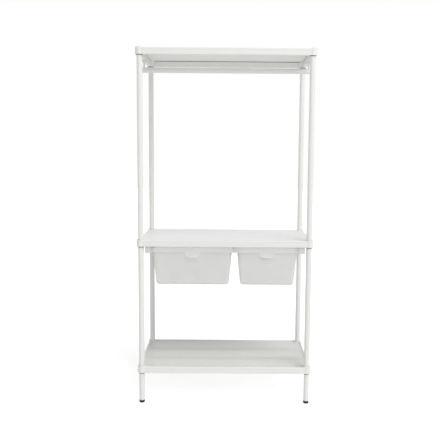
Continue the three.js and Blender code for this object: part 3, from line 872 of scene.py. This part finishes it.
class WARDROBE_OT_sleeves(bpy.types.Operator):
    """Builds the tapered split sleeves between the posts and the shelves' collars"""

    bl_idname = "wardrobe.sleeves"
    bl_label = "Split sleeves"

    def execute(self, context):
        sizes = context.scene.wardrobe_posts
        size = half_of("sleeve_top_front_left")
        bottom, half, lip = size.x, size.z, sizes.sleeve_lip
        inner = half_of("post_front_left").x + sizes.sleeve_gap
        top = half - (len(SHELVES) - 1) * sizes.sleeve_push
        rib = sizes.groove_height / 2 - sizes.sleeve_gap
        profile = [
            (inner, top), (inner, rib), (inner - sizes.groove_depth, 0), (inner, -rib), (inner, -half),
            (bottom - lip, -half), (bottom, -half + lip), (bottom - sizes.sleeve_taper, top),
        ]
        slit = sizes.sleeve_slit / bottom
        ring = turned(profile, 48, math.pi / 2 + slit / 2, math.tau - slit)
        nodes, points = [], []
        for count, level in enumerate(SHELVES):
            for corner in CORNERS:
                nodes.append(f"sleeve_{level}_{corner}")
                height = middle_of(nodes[-1]).z + count * sizes.sleeve_push
                points.append(POSTS[corner] + Z * height)
        rings = copies_at("sleeve_rings", ring, points, "sleeve_plastic")
        finished("split_rings", rings, "sleeve_plastic", nodes)
        return {"FINISHED"}


# Shelves


def rim_face(sizes):
    """The rim's outline outside: over the upper bend, down the grooved face and under to the flange."""
    drop, height, soft = sizes.groove_drop, sizes.groove_height, sizes.groove_radius
    return [
        (0, 0, sizes.top_radius),
        (0, -drop, soft), (-sizes.groove_depth, -drop - height / 2, soft), (0, -drop - height, soft),
        (0, -sizes.rim_height, sizes.bottom_radius), (-sizes.flange, -sizes.rim_height),
    ]


def corner_collar(sizes):
    """A collar's solid, with the rims' groove carried round it."""
    radius, bottom, top = sizes.collar_diameter / 2, -sizes.rim_height, sizes.collar_above
    drop, height, soft = sizes.groove_drop, sizes.groove_height, sizes.groove_radius
    return turned(bent([
        (0, bottom), (radius, bottom, sizes.collar_foot), (radius, -drop - height, soft),
        (radius - sizes.groove_depth, -drop - height / 2, soft), (radius, -drop, soft),
        (radius, top, sizes.collar_edge), (0, top),
    ], 4), 64)


def collar_bore(context, sizes):
    """What is cut from a collar: a bore that widens downwards, as the sleeve does."""
    posts = context.scene.wardrobe_posts
    wide = half_of("sleeve_top_front_left").x + posts.sleeve_gap
    narrow = wide - posts.sleeve_taper
    foot, head, taper_from = -sizes.rim_height - 12 * MM, 8 * MM, -sizes.rim_height - 6 * MM
    return turned([(0, foot), (wide, foot), (wide, taper_from), (narrow, 0), (narrow, head), (0, head)], 64)


def build_shelf(context, node, name, path, holes=None):
    """Four rims and four collars, welded; a solid shelf also has a panel and holes for screws."""
    sizes = context.scene.wardrobe_shelves
    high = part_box(node)[1]
    rim_x, rim_y = high.x - sizes.recess, high.y - sizes.recess
    outline = strip(path, sizes.sheet)
    sides = ((X, rim_x, POST_Y), (-X, rim_x, POST_Y), (Y, rim_y, POST_X), (-Y, rim_y, POST_X))
    pieces = [prism(outline, 2 * run, out, Z, out * reach) for out, reach, run in sides]
    if holes:
        inset = sizes.top_radius + MM
        x, y = rim_x - inset, rim_y - inset
        pieces.append(prism([(-x, -y), (x, -y), (x, y), (-x, y)], sizes.sheet, centre=-Z * sizes.sheet / 2))
    pieces += [moved(corner_collar(sizes), place) for place in POSTS.values()]
    cuts = [moved(collar_bore(context, sizes), place) for place in POSTS.values()]
    for x, y in holes or ():
        cuts.append(drill(context.scene.wardrobe_screws.hole, x, y, -sizes.rim_height, 5 * MM))
    whole = moved(combined(pieces[0], pieces[1:], cuts), Z * shelf_level(node, sizes))
    finished(name, whole, "white_paint", [node])


def screw_places(group):
    """Where the screws of a group stand, from the frame's own screws."""
    return [(middle_of(n).x, middle_of(n).y) for n in sorted(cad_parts) if n.startswith(group)]


class WARDROBE_OT_solid_shelves(bpy.types.Operator):
    """Builds the top and middle shelves, each one welded piece of folded sheet with four collars"""

    bl_idname = "wardrobe.solid_shelves"
    bl_label = "Solid shelves"

    def execute(self, context):
        sizes = context.scene.wardrobe_shelves
        flange, height = -sizes.flange, -sizes.rim_height
        hem = [(flange, height, sizes.fold), (flange, sizes.hem + height)]
        path = [(flange, 0), *rim_face(sizes)[:-1], *hem]
        build_shelf(context, "shelf_top", "top_shelf", path, screw_places("bracket_screw"))
        build_shelf(context, "shelf_middle", "middle_shelf", path, screw_places("runner_screw"))
        return {"FINISHED"}


def wire_tree():
    """Straight parallel wires along X that stop short of a round collar at each end of the outer ones."""
    tree = Geometry(
        "crossing_wires", Length="Float", Spread="Float", Count="Int", Wire="Float", Sides="Int",
        Along="Float", Across="Float", Clear="Float",
    )
    spread, count, clear = tree.given("Spread"), tree.given("Count"), tree.given("Clear")
    step = spread / (count - 1)
    across = tree.value(tree.node("GeometryNodeInputIndex")) * step - spread / 2
    away = abs(abs(across) - tree.given("Across"))
    inside = (clear * clear - away * away).at_least(0).root()
    near = clear.over(0) * (1 - away.over(clear))
    half = tree.given("Length") / 2
    reach = half - near * (half - tree.given("Along") + inside)
    place = tree.node("ShaderNodeCombineXYZ", {"Y": across})
    points = tree.node("GeometryNodePoints", {"Count": count})
    placed = tree.node("GeometryNodeSetPosition", {"Geometry": points, "Position": place})
    bar = tree.node(
        "GeometryNodeMeshCylinder",
        {"Vertices": tree.given("Sides"), "Radius": tree.given("Wire") / 2, "Depth": 2.0}, fill_type="NGON",
    )
    size = tree.node("ShaderNodeCombineXYZ", {"X": 1.0, "Y": 1.0, "Z": reach})
    tree.end(placed, bar, Rotation=(0, math.pi / 2, 0), Scale=size)
    return tree


def build_wires(context):
    """Two layers of straight wires, welded where they cross."""
    sizes = context.scene.wardrobe_mesh
    low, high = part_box("shelf_bottom_mesh")
    span_x, span_y, wire = high.x - low.x, high.y - low.y, sizes.wire
    clearance = context.scene.wardrobe_shelves.collar_diameter / 2 + sizes.collar_room
    tree = wire_tree()
    whole = bmesh.new()
    upper, lower = high.z - wire / 2, high.z - wire * 1.4
    layers = (
        (span_x, span_y, POST_X, POST_Y, 0.0, upper),
        (span_y, span_x, POST_Y, POST_X, math.pi / 2, lower),
    )
    for run, spread, along, across, turn, height in layers:
        count = int(spread / sizes.pitch) + 1
        layer = tree.grown(
            bmesh.new(), "mesh_paint", Length=run, Spread=spread - 2 * wire, Count=count, Wire=wire,
            Sides=sizes.wire_sides, Along=along, Across=across, Clear=clearance,
        )
        place = Matrix.Translation((0, 0, height)) @ Matrix.Rotation(turn, 4, "Z")
        bmesh.ops.transform(layer, matrix=place, verts=layer.verts)
        held = bpy.data.meshes.new("layer")
        layer.to_mesh(held)
        layer.free()
        whole.from_mesh(held)
        bpy.data.meshes.remove(held)
    bmesh.ops.recalc_face_normals(whole, faces=whole.faces)
    finished("wire_mesh", whole, "mesh_paint", ["shelf_bottom_mesh"], sharp=75.0)


def build_stiffener(sizes, end):
    """A hat section under the mesh: two brims and a crown."""
    node = "stiffener_" + end
    low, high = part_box(node)
    reach, crown, depth = (high.y - low.y) / 2, sizes.crown / 2, high.z - low.z - sizes.sheet
    brim, fold = crown + sizes.slope, sizes.fold
    outline = strip([
        (-reach, 0), (-brim, 0, fold), (-crown, -depth, fold),
        (crown, -depth, fold), (brim, 0, fold), (reach, 0),
    ], sizes.sheet, 5)
    place = Vector((0, (low.y + high.y) / 2, high.z))
    # The hat gets the lightened paint, painted light that offsets the shade under the mesh
    finished("hat_" + end, prism(outline, high.x - low.x, Y, Z, place), "stiffener_paint", [node])


class WARDROBE_OT_mesh_shelf(bpy.types.Operator):
    """Builds the bottom shelf: its stepped frame, its mesh of crossing wires and its stiffeners"""

    bl_idname = "wardrobe.mesh_shelf"
    bl_label = "Mesh shelf"

    def execute(self, context):
        sizes = context.scene.wardrobe_shelves
        node = SHELVES["bottom"]
        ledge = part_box("shelf_bottom_mesh")[0].z - shelf_level(node, sizes) - sizes.ledge_gap
        land = -sizes.land
        path = [(land - sizes.ledge, ledge), (land, ledge, 1.5 * MM), (land, 0, sizes.fold), *rim_face(sizes)]
        build_shelf(context, node, "bottom_frame", path)
        build_wires(context)
        for end in ("front", "back"):
            build_stiffener(sizes, end)
        return {"FINISHED"}


# Rail and brackets


def cast(bm, voxel):
    """A shape with the soft inner corners of a casting."""
    whole = as_object(bm)
    remesh = whole.modifiers.new("Cast", "REMESH")
    remesh.mode, remesh.voxel_size = "VOXEL", voxel
    smooth = whole.modifiers.new("Fettle", "SMOOTH")
    smooth.factor, smooth.iterations = 0.5, 5
    return shape_of(whole)


def build_bracket(context, side):
    """A cast bracket: foot plate, tapered web, round body and spigot."""
    sizes = context.scene.wardrobe_rail
    node = "rail_bracket_" + side
    low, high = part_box(node)
    rail, size = middle_of("clothes_rail"), half_of("clothes_rail")
    height, radius, rail_end = rail.z, size.z, rail.x + size.x
    end = -low.x if side == "left" else high.x
    half, plate_z = sizes.plate_width / 2, high.z - sizes.plate / 2
    corners = rounded_rectangle(half, (high.y - low.y) / 2, sizes.plate_corner, 6)
    plate_middle = end - half - sizes.plate_inset
    plate = prism(corners, sizes.plate, centre=Vector((plate_middle, 0, plate_z)))
    foot, head, top = sizes.web_bottom / 2, sizes.web_top / 2, plate_z - height
    web_middle = Vector((end - sizes.web_inset - sizes.web / 2, 0, height))
    web = prism([(-foot, 0), (foot, 0), (head, top), (-head, top)], sizes.web, Y, Z, web_middle)
    start, edge = rail_end + sizes.gap, 1.5 * MM
    body = round_bar([
        (0, start), (radius - MM, start), (radius, start + MM),
        (radius, end - edge), (radius - edge, end), (0, end),
    ], height)
    inner, tip, root = radius - sizes.wall - sizes.spigot_gap, rail_end - sizes.spigot, end - 9 * MM
    spigot = round_bar([(0, tip), (inner - MM, tip), (inner, tip + MM), (inner, root), (0, root)], height)
    places = screw_places("bracket_screw_" + side)
    holes = [drill(context.scene.wardrobe_screws.hole, abs(x), y, plate_z) for x, y in places]
    bracket = cast(combined(plate, [web, body, spigot], holes), sizes.voxel)
    if side == "left":
        bmesh.ops.rotate(bracket, verts=bracket.verts, matrix=Matrix.Rotation(math.pi, 3, "Z"))
    finished("bracket_" + side, bracket, "bracket_paint", [node], sharp=60.0)


class WARDROBE_OT_rail(bpy.types.Operator):
    """Builds the hanging rail and the two brackets that carry it under the top shelf"""

    bl_idname = "wardrobe.rail"
    bl_label = "Hanging rail"

    def execute(self, context):
        sizes = context.scene.wardrobe_rail
        low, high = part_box("clothes_rail")
        radius, edge = (high.z - low.z) / 2, sizes.edge
        inner = radius - sizes.wall
        tube = round_bar([
            (inner, low.x), (radius - edge, low.x), (radius, low.x + edge),
            (radius, high.x - edge), (radius - edge, high.x), (inner, high.x),
        ], (low.z + high.z) / 2)
        finished("hanging_tube", tube, "rail_paint", ["clothes_rail"])
        for side in SIDES:
            build_bracket(context, side)
        return {"FINISHED"}


# Runners and screws


def stop_tab(sizes, width, x, ledge):
    """An upturned tab behind a drawer's rim, with round upper corners."""
    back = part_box("drawer_large")[1].y + sizes.stop_gap
    outline = upright_tab(width / 2, -sizes.sheet, sizes.stop_height, min(2.5 * MM, width / 2 * 0.45), 5)
    return prism(outline, sizes.sheet, X, Z, Vector((x, back + sizes.sheet / 2, ledge)))


def front_end(sizes, low, high, half, x, drop):
    """The front end of a runner, folded shut, that reaches a little below it."""
    outline = upright_tab(half, low.z - drop, high.z, sizes.sheet * 0.4, 3)
    return prism(outline, sizes.sheet, X, Z, Vector((x, low.y + sizes.sheet / 2, 0)))


def with_holes(context, runner, tabs, x, high):
    """A runner with its tabs joined to it and a screw hole near each end."""
    screws = context.scene.wardrobe_screws
    reach = high.y - screws.from_end
    return combined(runner, tabs, [drill(screws.hole, x, y, high.z) for y in (-reach, reach)])


def build_side_runner(context, side):
    sizes = context.scene.wardrobe_runners
    node = "drawer_runner_" + side
    low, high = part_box(node)
    inner, web = sorted((abs(low.x), abs(high.x)))
    channel = prism(strip([
        (web - sizes.flange, high.z), (web, high.z, sizes.radius), (web, low.z, sizes.radius), (inner, low.z),
    ], sizes.sheet), high.y - low.y, X, Z)
    stop = stop_tab(sizes, sizes.stop_width, inner + sizes.stop_width / 2, low.z + sizes.sheet)
    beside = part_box("drawer_small")[1].x + sizes.side_gap
    end = front_end(sizes, low, high, (web - beside) / 2, (web + beside) / 2, sizes.end_drop)
    whole = with_holes(context, channel, [stop, end], web - sizes.flange / 2, high)
    if side == "left":
        bmesh.ops.scale(whole, vec=(-1, 1, 1), verts=whole.verts)
        bmesh.ops.reverse_faces(whole, faces=whole.faces)
    # The runner gets the colour that is set darker than the frame's paint
    finished("runner_" + side, whole, "runner_paint", [node])


def build_centre_runner(context):
    sizes = context.scene.wardrobe_runners
    node = "drawer_runner_centre"
    low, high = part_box(node)
    centre, reach, half = (low.x + high.x) / 2, (high.x - low.x) / 2, sizes.divider / 2
    ledge, bend = low.z + sizes.sheet, sizes.radius
    hat = prism(strip([
        (-reach, ledge), (-half, ledge, bend / 2), (-half, high.z, bend),
        (half, high.z, bend), (half, ledge, bend / 2), (reach, ledge),
    ], sizes.sheet), high.y - low.y, X, Z, X * centre)
    tabs = [stop_tab(sizes, reach - half, centre + sign * (reach + half) / 2, ledge) for sign in (-1, 1)]
    tabs.append(front_end(sizes, low, high, half, centre, sizes.divider_drop))
    # The runner gets the colour that is set darker than the frame's paint
    finished("runner_centre", with_holes(context, hat, tabs, centre, high), "runner_paint", [node])


class WARDROBE_OT_runners(bpy.types.Operator):
    """Builds the three folded runners that the drawers slide on"""

    bl_idname = "wardrobe.runners"
    bl_label = "Drawer runners"

    def execute(self, context):
        for side in SIDES:
            build_side_runner(context, side)
        build_centre_runner(context)
        return {"FINISHED"}


class WARDROBE_OT_screws(bpy.types.Operator):
    """Builds the pan-head screws of the brackets and runners, with crossed recesses"""

    bl_idname = "wardrobe.screws"
    bl_label = "Screws"

    def execute(self, context):
        sizes = context.scene.wardrobe_screws
        size = 2 * half_of("runner_screw_left_front")
        head, shank = size.y / 2, sizes.shank / 2
        profile = bent([(0, 0), (head, 0, sizes.head_radius), (head, sizes.head)], 6)
        profile += thread(shank, sizes.pitch / 2, sizes.pitch, sizes.head, size.z)
        recess = []
        for half_x, half_y in ((sizes.cross, sizes.slot), (sizes.slot, sizes.cross)):
            outline = [(-half_x, -half_y), (half_x, -half_y), (half_x, half_y), (-half_x, half_y)]
            recess.append(prism(outline, sizes.depth + MM, centre=Z * (sizes.depth - MM) / 2))
        screw = combined(turned([*profile, (0, size.z)], 28), cut=recess)
        nodes = [n for n in sorted(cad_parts) if "_screw_" in n]
        points = [Vector((middle_of(n).x, middle_of(n).y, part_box(n)[0].z)) for n in nodes]
        finished("pan_screws", copies_at("screws", screw, points, "screw_steel"), "screw_steel", nodes)
        return {"FINISHED"}


# Drawers


def drawer_section(sizes, height):
    """The drawer's wall as a path of (outwards, height): up the outside, over the rim and down the inside."""
    rim, lip, thick = sizes.rim, sizes.rim - sizes.rim_thickness, sizes.rim_thickness
    wall, drop, fillet = sizes.wall, sizes.rim_drop, sizes.fillet
    step = fillet + sizes.foot_inset
    panel, middle, rise = step + sizes.foot_rise, step + 6 * MM, sizes.foot_rise
    under, floor = -height, -height + wall
    tight, small, mouth, dish = MM, 0.45 * MM, 1.2 * MM, 2 * MM
    return bent([
        (-middle, under + rise), (-panel, under + rise, tight), (-step, under, tight),
        (0, under, fillet), (0, -thick, tight), (lip, -thick, tight), (lip, -drop, small),
        (rim, -drop, small), (rim, 0, sizes.rim_radius), (-wall, 0, mouth),
        (-wall, floor, fillet - wall), (-step, floor, dish),
        (-panel, floor + rise, tight), (-middle, floor + rise),
    ], 7)


def drawer_tub(sizes, width, depth, height):
    """The moulded tub about the middle of its rim's top."""
    rings = []
    for out, z in drawer_section(sizes, height):
        lean = sizes.lean / height * max(0.0, -z - sizes.rim_drop)
        radius = max(sizes.wall, sizes.corner - lean / 2 + out - sizes.square * max(0.0, out) / sizes.rim)
        ring = rounded_rectangle(width / 2 - lean + out, depth / 2 - lean + out, radius, 12)
        rings.append([Vector((p.x, p.y, z)) for p in ring])
    return loft(rings)


def pull_tongue(sizes, front):
    """The finger pull: a tongue under the front rim, round at its lower corners and curled forward."""
    columns, rows = 44, 14
    lip = sizes.rim_drop - sizes.rim_thickness
    bm = bmesh.new()
    face, rear = [], []
    for layer, grid in enumerate((face, rear)):
        for j in range(rows + 1):
            line = []
            for i in range(columns + 1):
                across = math.sin(math.pi / 2 * (2 * i / columns - 1))
                drop = sizes.pull_drop * (1 - abs(across) ** 3) ** (1 / 3)
                down = (lip + drop) * j / rows
                share = max(0.0, (down - lip) / sizes.pull_drop)
                thickness = sizes.rim_thickness + sizes.pull_bead * share ** 4
                y = front - sizes.pull_flare * share ** 5 + layer * thickness
                line.append(bm.verts.new((across * sizes.pull_width / 2, y, -sizes.rim_thickness - down)))
            grid.append(line)
    for j in range(rows):
        for i in range(columns):
            bm.faces.new((face[j][i], face[j][i + 1], face[j + 1][i + 1], face[j + 1][i]))
            bm.faces.new((rear[j][i], rear[j + 1][i], rear[j + 1][i + 1], rear[j][i + 1]))
    border = [(0, i) for i in range(columns)] + [(j, columns) for j in range(rows)]
    border += [(rows, i) for i in range(columns, 0, -1)] + [(j, 0) for j in range(rows, 0, -1)]
    for (j, i), (m, n) in zip(border, border[1:] + border[:1]):
        bm.faces.new((face[j][i], rear[j][i], rear[m][n], face[m][n]))
    return soft_edged(closed(bm), 0.7 * MM)


def front_band(sizes, half, front):
    """The taller lip across the front, which hides the runners' room above the rim."""
    below, soft = -sizes.rim_drop - sizes.band_below, 1.5 * MM
    outline = upright_tab(half, below, sizes.band_above, soft, 4)
    centre = Y * (front + sizes.rim_thickness / 2)
    return soft_edged(prism(outline[::-1], sizes.rim_thickness, X, Z, centre), 0.6 * MM)


def grip_rib(sizes, width, drop, front_wall, lean):
    """A crescent rib on the front wall that thins out towards its ends."""
    steps, sides, thinnest, sunk = 30, 10, 0.12, 0.3 * MM
    rings = []
    for k in range(steps + 1):
        share = 2 * k / steps - 1
        swell = max(thinnest, math.sqrt(max(0.0, 1 - share ** 4)))
        z = -drop + sizes.rib_rise * share ** 2
        y = front_wall + lean * (-z - sizes.rim_drop) + sunk
        ring = []
        for n in range(sides):
            angle = math.tau * n / sides
            out = sizes.rib_proud * math.sin(angle) * swell
            up = sizes.rib_height / 2 * math.cos(angle) * swell
            ring.append(Vector((share * width / 2, y - out, z + up)))
        rings.append(ring)
    return loft(rings)


def build_drawer(context, node, name):
    sizes = context.scene.wardrobe_drawers
    low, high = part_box(node)
    rim_front = low.y + sizes.pull_reach
    width, depth = high.x - low.x - 2 * sizes.rim, high.y - rim_front - 2 * sizes.rim
    height, front = high.z - low.z, -depth / 2
    ribs = [
        grip_rib(sizes, rib_width, drop, front, sizes.lean / height)
        for rib_width, drop in (
            (sizes.upper_rib_width, sizes.upper_rib), (sizes.lower_rib_width, sizes.lower_rib),
        )
    ]
    band = front_band(sizes, width / 2 + sizes.rim, front - sizes.rim)
    tongue = pull_tongue(sizes, front - sizes.rim)
    whole = combined(drawer_tub(sizes, width, depth, height), [band, tongue, *ribs])
    place = Vector(((low.x + high.x) / 2, (high.y + rim_front) / 2, high.z))
    finished(name, moved(whole, place), "drawer_plastic", [node], node, 34.0)


class WARDROBE_OT_drawers(bpy.types.Operator):
    """Builds the wide and the narrow moulded drawer, each with its finger pull"""

    bl_idname = "wardrobe.drawers"
    bl_label = "Drawers"

    def execute(self, context):
        build_drawer(context, "drawer_large", "wide_drawer")
        build_drawer(context, "drawer_small", "narrow_drawer")
        return {"FINISHED"}


# Stage: floor, background, lamps and camera


def placed(context, name, data):
    """A new object of the stage."""
    made = bpy.data.objects.new(name, data)
    context.scene.collection.objects.link(made)
    return made


def build_floor(context):
    stage = context.scene.wardrobe_stage
    half = stage.floor / 2
    mesh = bpy.data.meshes.new("floor")
    corners = [(-half, -half, 0), (half, -half, 0), (half, half, 0), (-half, half, 0)]
    mesh.from_pydata(corners, [], [(0, 1, 2, 3)])
    floor = placed(context, "floor", mesh)
    surface = Surface("floor_paper")
    seen = surface.value(surface.node("ShaderNodeLightPath"), "Is Camera Ray")
    paper = surface.node("ShaderNodeBsdfDiffuse", {"Color": stage.paper})
    glow = surface.node("ShaderNodeEmission", {"Strength": seen * stage.floor_glow})
    both = surface.node("ShaderNodeAddShader", {0: paper, 1: glow})
    surface.node("ShaderNodeOutputMaterial", {"Surface": both})
    mesh.materials.append(surface.material)


def build_world(context):
    """Even light from all round, which looks white to the camera, in gloss and through plastic."""
    world = bpy.data.worlds.new("studio")
    world.use_nodes = True
    world.node_tree.nodes.clear()
    tree = Tree(world.node_tree)
    rays = tree.node("ShaderNodeLightPath")
    seen = tree.value(rays, "Is Camera Ray")
    for ray in ("Is Glossy Ray", "Is Transmission Ray"):
        seen = seen.at_least(tree.value(rays, ray))
    ambient = context.scene.wardrobe_stage.ambient
    strength = ambient + seen * (1.0 - ambient)
    back = tree.node("ShaderNodeBackground", {"Color": (1.0, 1.0, 1.0), "Strength": strength})
    tree.node("ShaderNodeOutputWorld", {"Surface": back})
    context.scene.world = world


def add_key_lamp(context):
    stage = context.scene.wardrobe_stage
    lamp = bpy.data.lights.new("key", "AREA")
    lamp.energy, lamp.size, lamp.shape = stage.key, stage.key_size, "SQUARE"
    made = placed(context, "key", lamp)
    made.location = stage.key_place
    made.rotation_euler = (stage.key_target - stage.key_place).to_track_quat("-Z", "Y").to_euler()


def add_daylight(context):
    stage = context.scene.wardrobe_stage
    light = bpy.data.lights.new("daylight", "SUN")
    light.energy, light.angle = stage.daylight, stage.spread
    level = math.cos(stage.rise)
    towards = Vector((math.sin(stage.side) * level, -math.cos(stage.side) * level, math.sin(stage.rise)))
    placed(context, "daylight", light).rotation_euler = towards.to_track_quat("Z", "Y").to_euler()


def add_camera(context):
    stage = context.scene.wardrobe_stage
    camera = bpy.data.cameras.new("camera")
    camera.sensor_fit, camera.sensor_width = "HORIZONTAL", 36.0
    camera.lens = camera.sensor_width * stage.focal_pixels / stage.photo_pixels
    camera.shift_x = -stage.centre_pixels / stage.photo_pixels
    camera.clip_end = 100.0
    turn = Matrix.Rotation(stage.yaw, 3, "Z")
    right = turn @ X
    ahead = turn @ Vector((0, math.cos(stage.pitch), -math.sin(stage.pitch)))
    up = turn @ Vector((0, math.sin(stage.pitch), math.cos(stage.pitch)))
    lean_right = right * math.cos(stage.roll) + up * math.sin(stage.roll)
    lean_up = up * math.cos(stage.roll) - right * math.sin(stage.roll)
    axes = Matrix((lean_right, lean_up, -ahead)).transposed()
    made = placed(context, "camera", camera)
    made.matrix_world = Matrix.Translation(stage.place) @ axes.to_4x4()
    context.scene.camera = made


class WARDROBE_OT_stage(bpy.types.Operator):
    """Builds the floor, the even white surroundings, the lamps and the camera"""

    bl_idname = "wardrobe.stage"
    bl_label = "Stage"

    def execute(self, context):
        context.scene.view_settings.view_transform = "Standard"
        for build in (build_floor, build_world, add_daylight, add_key_lamp, add_camera):
            build(context)
        return {"FINISHED"}


STEPS = (
    WARDROBE_OT_stage,
    WARDROBE_OT_posts,
    WARDROBE_OT_feet,
    WARDROBE_OT_sleeves,
    WARDROBE_OT_solid_shelves,
    WARDROBE_OT_mesh_shelf,
    WARDROBE_OT_rail,
    WARDROBE_OT_runners,
    WARDROBE_OT_screws,
    WARDROBE_OT_drawers,
)


class WARDROBE_PT_panel(bpy.types.Panel):
    """Lists the wardrobe's pieces and settings"""

    bl_idname = "WARDROBE_PT_panel"
    bl_label = "Open frame wardrobe"
    bl_space_type = "VIEW_3D"
    bl_region_type = "UI"
    bl_category = "Wardrobe"

    def draw(self, context):
        for step in STEPS:
            self.layout.operator(step.bl_idname)
        for key, group in GROUPS.items():
            box = self.layout.box()
            for name in group.__annotations__:
                box.prop(getattr(context.scene, key), name)


def register():
    for group in (*GROUPS.values(), *STEPS, WARDROBE_PT_panel):
        bpy.utils.register_class(group)
    for key, group in GROUPS.items():
        setattr(bpy.types.Scene, key, bpy.props.PointerProperty(type=group))


def unregister():
    for key in GROUPS:
        delattr(bpy.types.Scene, key)
    for group in (WARDROBE_PT_panel, *reversed(STEPS), *GROUPS.values()):
        bpy.utils.unregister_class(group)


def main():
    register()
    for step in STEPS:
        group, name = step.bl_idname.split(".")
        getattr(getattr(bpy.ops, group), name)()
    bpy.context.view_layer.update()


if __name__ == "__main__":
    main()
